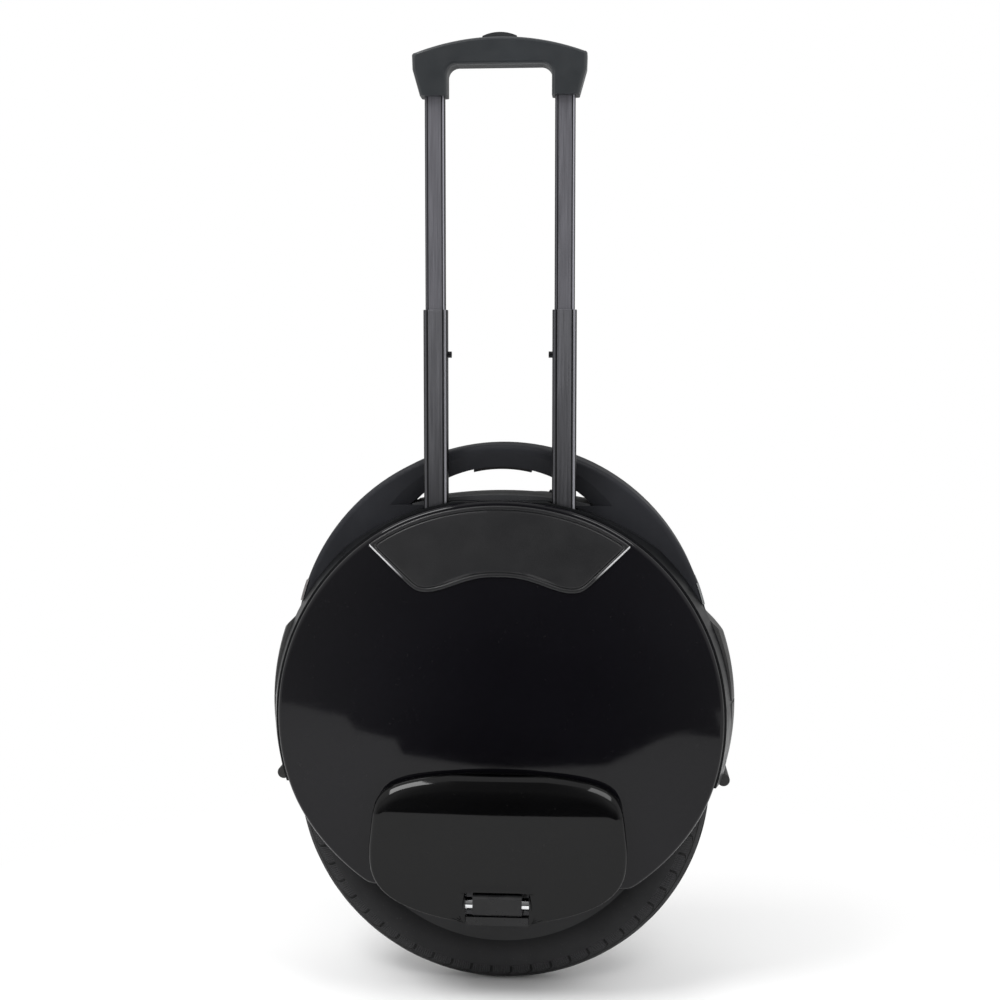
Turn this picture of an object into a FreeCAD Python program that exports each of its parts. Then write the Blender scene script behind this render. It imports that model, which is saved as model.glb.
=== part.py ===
import FreeCAD, Part
import math
import os

from FreeCAD import Vector

# Electric unicycle with its trolley handle pulled out and its pedals folded up, in millimetres
# Origin on the ground under the wheel, +X forward, +Y away from the trolley side, +Z up
# Two-sided pieces are drawn on the +Y side, and near_side mirrors them to the trolley side

# Fits shared by all pieces
seat_gap = 0.05
slide_gap = 0.3
pin_gap = 0.05
cut_over = 1.0
edge_steps = 3

# Tyre, inner tube and valve
tyre_radius = 204.0
tyre_section_radius = 27.0
tyre_height = 48.0
sidewall = 4.0
tread_thickness = 7.0
groove_width = 2.4
groove_depth = 2.5
groove_spacing = 9.0
inner_tube_wall = 1.5
inner_tube_gap = 0.4
valve_radius = 4.0
valve_depth = 5.5
valve_tip_gap = 1.5

# Rim and hub motor rotor
bead_half_width = 18.5
flange_thickness = 2.9
flange_height = 5.0
rim_well_depth = 6.0
rim_well_half_width = 8.0
rim_well_slope = 1.5
rotor_shell = 24.0
magnet_thickness = 4.0
magnet_half_length = 15.5
magnet_count = 20
magnet_fill_share = 0.86
motor_cover_overlap = 12.0
motor_cover_thickness = 4.0
boss_wall = 9.5
rotor_screw_count = 8
rotor_screw_radius = 2.0
rotor_screw_length = 12.0
rotor_screw_head_radius = 3.6
rotor_screw_head_height = 2.4

# Bearings, axle and its nuts
bearing_outer_radius = 23.5
bearing_width = 13.5
race_thickness = 3.85
ball_radius = 2.6
ball_count = 8
axle_radius = 10.0
axle_shoulder = 4.0
axle_end = 2.0
axle_flat_half_width = 7.0
nut_wall = 5.6
nut_height = 9.0

# Stator
air_gap = 0.8
stator_half_length = 13.0
stator_slots = 24
slot_width = 9.0
slot_mouth_width = 2.4
slot_lip = 4.0
slot_depth = 21.0
stator_yoke = 8.0
winding_overhang = 4.5
winding_gap = 0.4
carrier_half_thickness = 7.0
carrier_hole_count = 6
carrier_hole_radius = 16.0

# Bumpers and lights, round a centre above the axle
body_rise = 78.0
wheel_side_gap = 4.0
wheel_gap = 5.0
bumper_margin = 18.0
bumper_crown = 4.5
bumper_skin = 3.0
bumper_seam_rise = 5.0
bumper_seam_height = 2.4
bumper_seam_depth = 1.0
bumper_bevel = 8.5
lens_height = 20.0
lens_top_drop = 11.0
lens_gap = 14.7
lens_stand_out = 0.6
lens_depth = 1.5
lens_window_rim = 2.0
light_board_thickness = 1.2
light_board_height = 10.0
light_board_half_width = 18.0
light_board_lift = 2.5
plug_radius = 6.0
plug_outset = 7.0
plug_rise = 6.0
plug_half_length = 24.0

# Fender arch with the carry handle, round a centre above the body's
arch_inset = 26.0
arch_rise = 52.5
arch_edge_round = 5.0
fender_foot_rise = 18.0
fender_wall = 3.0
handle_thickness = 21.5
window_radius = 124.0
hand_gap = 27.0
scoop_width = 14.0
scoop_depth = 4.0
handle_core_margin = 5.0
deck_thickness = 10.0
deck_end_gap = 2.8
deck_end_drop = 8.5

# Lift button under the carry handle
lift_half_length = 28.0
lift_half_width = 9.0
lift_stand_out = 3.5
lift_flange = 3.0
lift_flange_thickness = 2.5
lift_ledge = 2.0
lift_travel = 3.0

# Pods beside the wheel
pod_wall = 2.5
pod_back_wall = 2.0
pod_rim_step = 0.5
pod_lip = 2.0
pod_lower_inset = 3.0
pod_floor_rise = 14.0
pod_top_drop = 5.0
axle_slot_gap = 1.5

# Side covers and leg pads
cover_inset = 13.0
cover_drop = 9.0
cover_top_flat = 3.0
cover_top_radius_share = 1.168
cover_foot_rise = 21.0
cover_foot_radius_share = 1.042
cover_crown = 13.0
cover_edge = 4.0
cover_shoulder_rise = 5.5
cover_wall = 2.5
pad_thickness = 2.0
pad_rim_margin = 0.5
pad_corner_reach = 130.0
pad_corner_drop = 38.0
pad_lobe_reach = 71.0
pad_lobe_drop = 87.0
pad_lobe_half_width = 12.0
pad_lobe_round = 3.0
pad_crest_drop = 72.0
pad_channel_margin = 6.0
pad_channel_width = 1.8
pad_channel_depth = 0.7

# Pedal hangers and their bolts
hanger_thickness = 6.0
hanger_disc_radius = 34.0
hanger_wing = 23.5
hanger_wing_below = 26.0
hanger_wing_above = 28.0
hanger_stem_half_width = 26.0
hanger_bolt_inset = 11.0
hanger_bolt_radius = 2.5
hanger_bolt_head_radius = 4.5
hanger_bolt_head_height = 4.0

# Pedals, folded up, round a hinge below the axle
hinge_rise = 38.5
hinge_outset = 8.0
pedal_gap = 2.5
pedal_thickness = 17.5
pedal_half_length = 122.5
pedal_wide_rise = 57.5
pedal_top_rise = 125.5
pedal_top_corner_inset = 28.5
pedal_top_corner_drop = 12.0
pedal_low_corner_inset = 13.5
pedal_low_corner_rise = 13.0
pedal_heel = 18.5
pedal_side_bulge_share = 0.12
pedal_edge_round = 6.0
hinge_pin_radius = 6.0
hinge_pin_half_length = 48.0
knuckle_half_width = 23.3
knuckle_radius = 12.0
knuckle_half_height = 10.5
knuckle_lip = 8.0
lip_side_gap = 0.5
lip_setback = 1.5
hinge_side_gap = 7.0
hinge_notch_gap = 0.8
pedal_tread_thickness = 0.8
pedal_tread_margin = 12.0

# Batteries, controller and motor cable
battery_cover_gap = 1.0
battery_side_gap = 2.6
battery_floor_gap = 12.0
battery_top_gap = 16.0
battery_far_inner = 22.0
battery_far_top_gap = 62.0
battery_far_end_gap = 19.6
heat_sink_half_length = 66.0
heat_sink_half_width = 25.0
heat_sink_height = 8.0
board_thickness = 1.6
capacitor_radius = 8.0
capacitor_length = 22.0
capacitor_spacing = 30.0
capacitor_count = 4
capacitor_side = 12.0
cable_radius = 4.0
cable_bore_depth = 36.0
cable_entry_rise = 21.0
cable_axle_bend = 5.6
cable_wall_bend = 10.0
cable_inner_reach = 8.0

# Power button and charge port on the far pod
port_reach = 34.0
button_radius = 6.0
button_flange = 1.2
button_flange_thickness = 2.0
button_stand_out = 1.5
button_travel = 1.2
switch_wall = 1.8
switch_depth = 13.0
port_radius = 8.5
port_bore_radius = 6.5
port_depth = 20.0
port_floor = 2.0
port_flange = 1.2
port_flange_thickness = 3.0
contact_radius = 1.0
contact_length = 8.0
contact_pitch_radius = 3.2
contact_count = 3
cap_radius = 9.3
cap_thickness = 2.0
cap_barrel_radius = 1.9
cap_barrel_half_length = 4.0
cap_pin_radius = 0.85
cap_ear_thickness = 2.0

# Trolley, pulled out
trolley_reach_share = 0.2841
sleeve_side_gap = 1.1
sleeve_top_drop = 8.0
sleeve_opening_depth = 12.0
upper_tube_width = 19.0
upper_tube_depth = 10.6
upper_tube_wall = 1.4
mid_tube_wall = 1.6
sleeve_wall = 1.9
tube_corner = 2.6
sleeve_floor_gap = 8.0
mid_tube_overlap = 62.0
mid_tube_stand_out = 181.0
mid_tube_floor_gap = 5.0
upper_tube_overlap = 45.0
upper_tube_stand_out = 197.0
lock_pin_drop = 42.0
lock_pin_radius = 3.0
lock_pin_stand_out = 3.5
lock_pin_slot_room = 7.0

# Trolley grip and its release button, above the grip's lower ends
grip_depth = 24.0
grip_leg_out = 13.2
grip_leg_in = 12.3
grip_break_out = 20.0
grip_break_rise = 24.0
grip_corner_out = 20.4
grip_corner_rise = 36.5
grip_corner_round = 2.5
grip_crown_rise = 53.0
grip_gap_rise = 27.5
grip_gap_round = 10.0
grip_socket_depth = 37.0
grip_edge_round = 3.0
grip_screw_in = 14.5
grip_screw_rise = 33.5
grip_screw_radius = 1.5
grip_screw_length = 16.0
grip_screw_head_radius = 2.8
grip_screw_head_height = 2.0
release_half_length = 16.0
release_half_width = 7.0
release_flange = 3.0
release_flange_thickness = 2.4
release_ledge_drop = 7.5
release_stand_out = 4.5
release_travel = 4.0
release_shoulder = 1.0

# Wheel radii and faces that follow from the sizes above
axle_height = tyre_radius
tyre_middle_radius = tyre_radius - tyre_section_radius
air_radius = tyre_section_radius - (sidewall + tread_thickness) / 2
air_middle_radius = tyre_radius - tread_thickness - air_radius
bead_seat_radius = tyre_radius - tyre_height
rim_half_width = bead_half_width + flange_thickness
flange_radius = bead_seat_radius + flange_height
rim_well_radius = bead_seat_radius - rim_well_depth
valve_axis_radius = rim_well_radius - valve_depth
rotor_bore_radius = rim_well_radius - rotor_shell
magnet_inner_radius = rotor_bore_radius - magnet_thickness
motor_cover_radius = rotor_bore_radius + motor_cover_overlap
rotor_screw_pitch_radius = rotor_bore_radius + motor_cover_overlap / 2
motor_cover_face = rim_half_width + motor_cover_thickness
cover_boss_radius = bearing_outer_radius + boss_wall
fender_half_width = tyre_section_radius + wheel_side_gap
valve_reach = fender_half_width - valve_tip_gap
tube_floor_radius = air_middle_radius - air_radius + inner_tube_gap
valve_root_radius = tube_floor_radius + inner_tube_wall + cut_over
bearing_face = fender_half_width - slide_gap
bearing_start = bearing_face - bearing_width
axle_shoulder_radius = axle_radius + axle_shoulder
nut_radius = axle_radius + nut_wall
stator_radius = magnet_inner_radius - air_gap
slot_bottom_radius = stator_radius - slot_lip - slot_depth
carrier_radius = slot_bottom_radius - stator_yoke
wheel_well_radius = tyre_radius + wheel_gap

# Trolley tube sections, each stage round the one inside it
mid_tube_width = upper_tube_width + 2 * (slide_gap + mid_tube_wall)
mid_tube_depth = upper_tube_depth + 2 * (slide_gap + mid_tube_wall)
mid_tube_corner = tube_corner + slide_gap + mid_tube_wall
sleeve_width = mid_tube_width + 2 * (slide_gap + sleeve_wall)
sleeve_depth = mid_tube_depth + 2 * (slide_gap + sleeve_wall)
sleeve_corner = mid_tube_corner + slide_gap + sleeve_wall

# Faces from the wheel outward
pod_back = fender_half_width + pod_back_wall
pod_front = pod_back + sleeve_depth + 2 * sleeve_side_gap
trolley_side = (pod_back + pod_front) / 2
hanger_face = pod_back + hanger_thickness
axle_half_length = hanger_face + nut_height + axle_end
battery_depth = pod_front - pod_back - battery_cover_gap
pedal_inner_face = pod_front + cover_crown + pedal_gap
pedal_outer_face = pedal_inner_face + pedal_thickness
hinge_side = pedal_inner_face + hinge_outset

# Body radii and heights from the axle upward
body_centre_height = axle_height + body_rise
bumper_radius = wheel_well_radius + bumper_margin
bumper_side_radius = bumper_radius - bumper_crown
cover_radius = bumper_radius - cover_inset
cover_centre_height = body_centre_height - cover_drop
cover_top_radius = cover_radius * cover_top_radius_share
cover_top_height = cover_centre_height + cover_radius - cover_top_flat
cover_top_centre_height = cover_top_height - cover_top_radius
cover_foot_radius = cover_radius * cover_foot_radius_share
cover_foot_centre_height = cover_centre_height + cover_foot_rise
bumper_seam_low = body_centre_height + bumper_seam_rise
bumper_seam_high = bumper_seam_low + bumper_seam_height
arch_radius = bumper_radius - arch_inset
arch_meeting_rise = (bumper_radius ** 2 - arch_radius ** 2 + arch_rise ** 2) / (2 * arch_rise)
lens_top = body_centre_height + arch_meeting_rise - lens_top_drop
lens_low = lens_top - lens_height
light_board_low = lens_low + light_board_lift
bumper_top = lens_low - lens_gap
plug_place_radius = wheel_well_radius + plug_outset
plug_height = axle_height + plug_rise
arch_centre_height = body_centre_height + arch_rise
fender_foot_height = body_centre_height + fender_foot_rise
window_top_height = arch_centre_height + arch_radius - handle_thickness
window_centre_height = window_top_height - window_radius
handle_core_radius = window_radius + scoop_width + handle_core_margin
lift_ledge_height = window_top_height + lift_ledge
deck_crest_height = window_top_height - hand_gap
window_floor_height = deck_crest_height - deck_thickness
window_half_chord = math.sqrt(window_radius ** 2 - (window_floor_height - window_centre_height) ** 2)
deck_half_length = window_half_chord - deck_end_gap
pod_rim_radius = bumper_side_radius - pod_rim_step
pod_front_radius = cover_radius + pod_lip
pod_lower_radius = cover_radius - pod_lower_inset
pod_step_height = plug_height
pod_top_height = deck_crest_height - pod_top_drop
cover_shoulder_radius = cover_radius - cover_edge
trolley_reach = cover_radius * trolley_reach_share
axle_slot_half_width = cover_boss_radius + axle_slot_gap
hanger_wing_reach = axle_slot_half_width + hanger_wing
hanger_wing_low = axle_height - hanger_wing_below
hanger_wing_high = axle_height + hanger_wing_above
hanger_bolt_reach = (axle_slot_half_width + hanger_wing_reach) / 2
lock_pin_tip = trolley_reach - mid_tube_width / 2 - lock_pin_stand_out
battery_near_half_width = lock_pin_tip - slide_gap - battery_side_gap
battery_far_low = axle_height + hanger_disc_radius
battery_far_high = pod_top_height - battery_far_top_gap
pod_room_radius = pod_front_radius - pod_wall
pod_room_reach = math.sqrt(pod_room_radius ** 2 - (battery_far_high - cover_centre_height) ** 2)
battery_far_outer = pod_room_reach - battery_far_end_gap
battery_near_low = battery_far_low + battery_floor_gap
battery_near_high = pod_top_height - battery_top_gap
heat_sink_top = window_floor_height - fender_wall
board_top = heat_sink_top - heat_sink_height
capacitor_top = board_top - board_thickness
cable_entry_height = axle_height + wheel_well_radius + fender_wall + cable_entry_rise
cap_low = pod_top_height + slide_gap
cap_hinge_reach = port_reach + cap_radius + cap_barrel_radius
cap_hinge_height = cap_low + cap_barrel_radius

# Pedal heights from the hinge
pedal_hinge_height = cover_centre_height - pod_lower_radius + hinge_rise
pedal_wide_height = pedal_hinge_height + pedal_wide_rise
pedal_top_height = pedal_hinge_height + pedal_top_rise
pedal_top_corner_height = pedal_top_height - pedal_top_corner_drop
pedal_top_corner_reach = pedal_half_length - pedal_top_corner_inset
pedal_low_corner_reach = pedal_half_length - pedal_low_corner_inset
pedal_low_corner_height = pedal_hinge_height + pedal_low_corner_rise
pedal_low_height = pedal_hinge_height - pedal_heel
pod_floor_height = pedal_hinge_height + pod_floor_rise
hinge_notch_half_width = knuckle_half_width + hinge_side_gap
hinge_notch_height = pedal_hinge_height + knuckle_radius + hinge_notch_gap
hinge_lip_half_width = hinge_notch_half_width - lip_side_gap
hinge_lip_face = pedal_outer_face - lip_setback

# Trolley heights from the top of the pods
sleeve_low = hanger_wing_high + sleeve_floor_gap
sleeve_top = pod_top_height - sleeve_top_drop
mid_tube_low = pod_top_height - mid_tube_overlap
mid_tube_travel = mid_tube_low - sleeve_low - mid_tube_floor_gap
mid_tube_top = pod_top_height + mid_tube_stand_out
lock_pin_height = mid_tube_top - lock_pin_drop
sleeve_slot_low = lock_pin_height - mid_tube_travel - lock_pin_radius - lock_pin_slot_room
upper_tube_low = mid_tube_top - upper_tube_overlap
grip_low = mid_tube_top + upper_tube_stand_out
grip_leg_outer = trolley_reach + grip_leg_out
grip_leg_inner = trolley_reach - grip_leg_in
grip_break_reach = trolley_reach + grip_break_out
grip_corner_reach = trolley_reach + grip_corner_out
grip_screw_reach = grip_leg_inner - grip_screw_in
grip_break_height = grip_low + grip_break_rise
grip_corner_height = grip_low + grip_corner_rise
grip_crown_height = grip_low + grip_crown_rise
grip_gap_height = grip_low + grip_gap_rise
grip_socket_top = grip_low + grip_socket_depth
grip_screw_height = grip_low + grip_screw_rise
release_ledge_height = grip_crown_height - release_ledge_drop
release_top = grip_crown_height + release_stand_out


def near_side(shape):
    """The same piece on the trolley side."""
    return shape.mirror(Vector(0, 0, 0), Vector(0, 1, 0))


def both_sides(shape):
    """Two copies of a piece, one on each side of the wheel."""
    return Part.makeCompound([near_side(shape), shape])


def rear_end(shape):
    """The same piece at the other end of the body."""
    return shape.mirror(Vector(0, 0, 0), Vector(1, 0, 0))


def both_ends(shape):
    """Two copies of a piece, one at each end of the body."""
    return Part.makeCompound([rear_end(shape), shape])


def block(x_from, x_to, y_from, y_to, z_from, z_to):
    """A box between two corners."""
    return Part.makeBox(x_to - x_from, y_to - y_from, z_to - z_from, Vector(x_from, y_from, z_from))


def rod_x(radius, x_from, x_to, y, z):
    """A rod along the length of the body."""
    return Part.makeCylinder(radius, x_to - x_from, Vector(x_from, y, z), Vector(1, 0, 0))


def rod_y(radius, y_from, y_to, x, z):
    """A rod or disc along the axle's direction."""
    return Part.makeCylinder(radius, y_to - y_from, Vector(x, y_from, z), Vector(0, 1, 0))


def rod_z(radius, z_from, z_to, x, y):
    """An upright rod."""
    return Part.makeCylinder(radius, z_to - z_from, Vector(x, y, z_from), Vector(0, 0, 1))


def ring_y(outer, inner, y_from, y_to, z):
    """A ring round an axis along the axle's direction."""
    return rod_y(outer, y_from, y_to, 0, z).cut(rod_y(inner, y_from - cut_over, y_to + cut_over, 0, z))


def cone_y(radius_from, radius_to, y_from, y_to, z):
    """A cut-off cone round an axis along the axle's direction."""
    return Part.makeCone(radius_from, radius_to, y_to - y_from, Vector(0, y_from, z), Vector(0, 1, 0))


def edges_through(points, closed=True):
    """A wire of lines between plain points, and of arcs through points that are marked with True."""
    edges = []
    count = len(points)
    index = 0
    last = count if closed else count - 1
    while index < last:
        start = points[index][0]
        middle, is_arc = points[(index + 1) % count]
        if is_arc:
            end = points[(index + 2) % count][0]
            edges.append(Part.Arc(start, middle, end).toShape())
            index += 2
        else:
            edges.append(Part.LineSegment(start, middle).toShape())
            index += 1
    return Part.Wire(edges)


def turned_y(profile, z):
    """A solid turned round the axle's direction from (radius, side, is_arc) points."""
    points = [(Vector(radius, side, z), is_arc) for radius, side, is_arc in profile]
    face = Part.Face(edges_through(points))
    return face.revolve(Vector(0, 0, z), Vector(0, 1, 0), 360)


def plate_y(outline, y_from, y_to):
    """A plate with an outline of (x, z, is_arc) points, between two sides."""
    points = [(Vector(x, y_from, z), is_arc) for x, z, is_arc in outline]
    return Part.Face(edges_through(points)).extrude(Vector(0, y_to - y_from, 0))


def rounded_plate(outline, y_from, y_to, edge_round):
    """A plate of outline(margin), with the edge of its outer face rounded off in steps."""
    wires = []
    for step in range(edge_steps + 1):
        turn = math.pi / 2 * step / edge_steps
        side = y_to - edge_round * (1 - math.sin(turn))
        points = outline(edge_round * (1 - math.cos(turn)))
        wires.append(edges_through([(Vector(x, side, z), is_arc) for x, z, is_arc in points]))
    edge = Part.makeLoft(wires, True, True)
    return plate_y(outline(0), y_from, y_to - edge_round).fuse(edge)


def upright_slab(width, depth, corner, x, y, z_from, z_to):
    """An upright bar of rounded rectangular section, centred at x and y."""
    bar = block(x - width / 2, x + width / 2, y - depth / 2, y + depth / 2, z_from, z_to)
    upright = [edge for edge in bar.Edges if edge.BoundBox.ZLength > edge.BoundBox.DiagonalLength / 2]
    return bar.makeFillet(corner, upright)


def pair_of_tubes(width, depth, wall, corner, z_from, z_to):
    """The two upright tubes of one trolley stage."""
    outer = upright_slab(width, depth, corner, trolley_reach, trolley_side, z_from, z_to)
    inner_size = (width - 2 * wall, depth - 2 * wall, corner - wall)
    bore = upright_slab(*inner_size, trolley_reach, trolley_side, z_from - cut_over, z_to + cut_over)
    return both_ends(outer.cut(bore))


def torus(middle_radius, section_radius):
    """A ring of round section about the axle."""
    return Part.makeTorus(middle_radius, section_radius, Vector(0, 0, axle_height), Vector(0, 1, 0))


def around_axle(shape, count, offset_share=0):
    """Copies of a piece, evenly spaced round the axle."""
    copies = []
    for index in range(count):
        copy = shape.copy()
        copy.rotate(Vector(0, 0, axle_height), Vector(0, 1, 0), 360 * (index + offset_share) / count)
        copies.append(copy)
    return Part.makeCompound(copies)


def slab_between(z_from, z_to):
    """All that lies between two heights."""
    reach = 2 * bumper_radius
    return block(-reach, reach, -reach, reach, z_from, z_to)


def make_tyre():
    """A hollow tyre with three grooves round its tread, open at the rim."""
    tyre = torus(tyre_middle_radius, tyre_section_radius).cut(torus(air_middle_radius, air_radius))
    reach = tyre_section_radius + cut_over
    tyre = tyre.cut(rod_y(bead_seat_radius, -reach, reach, 0, axle_height))
    flange_room = rod_y(flange_radius + slide_gap, bead_half_width, reach, 0, axle_height)
    tyre = tyre.cut(both_sides(flange_room))
    for side in (-groove_spacing, 0, groove_spacing):
        surface = tyre_middle_radius + math.sqrt(tyre_section_radius ** 2 - side ** 2)
        ends = (side - groove_width / 2, side + groove_width / 2)
        tyre = tyre.cut(ring_y(tyre_radius + cut_over, surface - groove_depth, *ends, axle_height))
    return tyre


def valve_path(radius):
    """The bent way of the valve, from the rim well to the near side of the rim."""
    upright = rod_x(radius, valve_axis_radius, valve_root_radius, 0, axle_height)
    sideways = rod_y(radius, -valve_reach, 0, valve_axis_radius, axle_height)
    elbow = Part.makeSphere(radius, Vector(valve_axis_radius, 0, axle_height))
    return upright.fuse([sideways, elbow]).removeSplitter()


def make_inner_tube():
    """The rubber tube in the tyre, with a hole for the valve."""
    outer = air_radius - inner_tube_gap
    tube = torus(air_middle_radius, outer).cut(torus(air_middle_radius, outer - inner_tube_wall))
    return tube.cut(valve_path(valve_radius + seat_gap))


def rotor_screw_holes():
    """Holes for the screws of one motor cover."""
    ends = (motor_cover_face - rotor_screw_length, motor_cover_face + cut_over)
    hole = rod_y(rotor_screw_radius + pin_gap, *ends, 0, axle_height + rotor_screw_pitch_radius)
    return around_axle(hole, rotor_screw_count)


def make_rim():
    """The rim, which is also the shell of the motor's rotor."""
    seat = bead_seat_radius - seat_gap
    slope = rim_well_half_width + rim_well_slope
    half = [
        (rotor_bore_radius, rim_half_width),
        (flange_radius, rim_half_width),
        (flange_radius, bead_half_width + seat_gap),
        (seat, bead_half_width + seat_gap),
        (seat, slope),
        (rim_well_radius, rim_well_half_width),
    ]
    profile = [(radius, side, False) for radius, side in half]
    profile += [(radius, -side, False) for radius, side in reversed(half)]
    rim = turned_y(profile, axle_height)
    rim = rim.cut(valve_path(valve_radius + slide_gap))
    return rim.cut(both_sides(rotor_screw_holes()))


def make_magnets():
    """The curved magnets on the inside of the rotor."""
    outer = rotor_bore_radius - seat_gap
    corners = [
        (magnet_inner_radius, -magnet_half_length),
        (outer, -magnet_half_length),
        (outer, magnet_half_length),
        (magnet_inner_radius, magnet_half_length),
    ]
    wire = Part.makePolygon([Vector(r, y, axle_height) for r, y in corners + corners[:1]])
    turn = 360 / magnet_count * magnet_fill_share
    magnet = Part.Face(wire).revolve(Vector(0, 0, axle_height), Vector(0, 1, 0), turn)
    return around_axle(magnet, magnet_count)


def make_motor_cover():
    """A side cover of the motor, with the boss that holds its bearing."""
    disc = rod_y(motor_cover_radius, rim_half_width, motor_cover_face, 0, axle_height)
    boss = rod_y(cover_boss_radius, bearing_start, bearing_face, 0, axle_height)
    bore_reach = bearing_face + cut_over
    bore = rod_y(bearing_outer_radius, bearing_start - cut_over, bore_reach, 0, axle_height)
    return disc.fuse(boss).cut(bore).cut(rotor_screw_holes())


def make_rotor_screws():
    """The screws of both motor covers."""
    height = axle_height + rotor_screw_pitch_radius
    tip = motor_cover_face - rotor_screw_length
    shank = rod_y(rotor_screw_radius, tip, motor_cover_face, 0, height)
    head_end = motor_cover_face + rotor_screw_head_height
    head = rod_y(rotor_screw_head_radius, motor_cover_face, head_end, 0, height)
    return both_sides(around_axle(shank.fuse(head), rotor_screw_count))


def make_outer_races():
    """The outer races, which turn with the motor covers."""
    outer = bearing_outer_radius - seat_gap
    inner = bearing_outer_radius - race_thickness
    return both_sides(ring_y(outer, inner, bearing_start, bearing_face, axle_height))


def make_inner_races():
    """The inner races, which stay on the axle."""
    inner = axle_radius + seat_gap
    ball_circle = bearing_outer_radius - race_thickness - ball_radius - pin_gap
    outer = ball_circle - ball_radius - pin_gap
    return both_sides(ring_y(outer, inner, bearing_start, bearing_face, axle_height))


def make_balls():
    """The balls of both bearings."""
    circle = bearing_outer_radius - race_thickness - ball_radius - pin_gap
    middle = (bearing_start + bearing_face) / 2
    ball = Part.makeSphere(ball_radius, Vector(circle, middle, axle_height))
    return both_sides(around_axle(ball, ball_count))


def make_axle():
    """The fixed axle: shoulders for the bearings, flats at both ends and a bore for the cable."""
    axle = rod_y(axle_radius, -axle_half_length, axle_half_length, 0, axle_height)
    shoulder_reach = bearing_start - seat_gap
    axle = axle.fuse(rod_y(axle_shoulder_radius, -shoulder_reach, shoulder_reach, 0, axle_height))
    far = 2 * axle_radius
    heights = (axle_height - far, axle_height + far)
    side = block(axle_flat_half_width, far, pod_back, axle_half_length + cut_over, *heights)
    for cutter in (side, near_side(side)):
        axle = axle.cut(both_ends(cutter))
    bore_start = axle_half_length - cable_bore_depth
    bore = rod_y(cable_radius + seat_gap, bore_start, axle_half_length + cut_over, 0, axle_height)
    return axle.cut(bore)


def make_stator_carrier():
    """The light-alloy disc that carries the stator on the axle."""
    inner = axle_shoulder_radius + seat_gap
    ends = (-carrier_half_thickness, carrier_half_thickness)
    disc = ring_y(carrier_radius - seat_gap, inner, *ends, axle_height)
    pitch = (inner + carrier_radius) / 2
    reach = carrier_half_thickness + cut_over
    hole = rod_y(carrier_hole_radius, -reach, reach, 0, axle_height + pitch)
    return disc.cut(around_axle(hole, carrier_hole_count))


def make_stator_core():
    """The laminated core with its slots."""
    core = ring_y(stator_radius, carrier_radius, -stator_half_length, stator_half_length, axle_height)
    reach = stator_half_length + cut_over
    slot_top = axle_height + slot_bottom_radius + slot_depth
    slot = block(-slot_width / 2, slot_width / 2, -reach, reach, axle_height + slot_bottom_radius, slot_top)
    mouth_half = slot_mouth_width / 2
    mouth_top = axle_height + stator_radius + cut_over
    mouth = block(-mouth_half, mouth_half, -reach, reach, slot_top - cut_over, mouth_top)
    return core.cut(around_axle(slot.fuse(mouth), stator_slots))


def make_stator_windings():
    """The copper bundles that lie in the slots and stand out past the core."""
    half_width = slot_width / 2 - winding_gap
    reach = stator_half_length + winding_overhang
    low = axle_height + slot_bottom_radius + winding_gap
    high = axle_height + slot_bottom_radius + slot_depth - winding_gap
    bundle = block(-half_width, half_width, -reach, reach, low, high)
    return around_axle(bundle, stator_slots)


def cable_path():
    """The way of the motor cable: out of the axle, up in the far pod and in to the controller."""
    bend_side = axle_half_length + cable_axle_bend
    start = Vector(0, axle_half_length - cable_bore_depth + cut_over, axle_height)
    corners = [
        (Vector(0, bend_side, axle_height), cable_axle_bend),
        (Vector(0, bend_side, cable_entry_height), cable_wall_bend),
        (Vector(0, cable_inner_reach, cable_entry_height), cable_wall_bend),
    ]
    finish = Vector(0, cable_inner_reach, capacitor_top)
    points = [start] + [corner for corner, bend in corners] + [finish]
    edges = []
    last = start
    for index, (corner, bend) in enumerate(corners):
        toward_last = (points[index] - corner).normalize()
        toward_next = (points[index + 2] - corner).normalize()
        arc_start = corner + toward_last * bend
        arc_end = corner + toward_next * bend
        centre = corner + (toward_last + toward_next) * bend
        middle = centre + (corner - centre).normalize() * bend
        edges.append(Part.LineSegment(last, arc_start).toShape())
        edges.append(Part.Arc(arc_start, middle, arc_end).toShape())
        last = arc_end
    edges.append(Part.LineSegment(last, finish).toShape())
    return Part.Wire(edges), start


def make_motor_cable():
    """The motor cable."""
    path, start = cable_path()
    section = Part.Wire(Part.makeCircle(cable_radius, start, Vector(0, 1, 0)))
    return path.makePipeShell([section], True, False)


def axle_hole(radius, half_width, y_from, y_to):
    """A round hole with two flats."""
    hole = rod_y(radius, y_from, y_to, 0, axle_height)
    flats = block(-half_width, half_width, y_from, y_to, axle_height - radius, axle_height + radius)
    return hole.common(flats)


def hanger_bolt_places():
    """The places of the four bolts of one hanger."""
    heights = (hanger_wing_low + hanger_bolt_inset, hanger_wing_high - hanger_bolt_inset)
    return [(reach, height) for reach in (-hanger_bolt_reach, hanger_bolt_reach) for height in heights]


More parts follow.
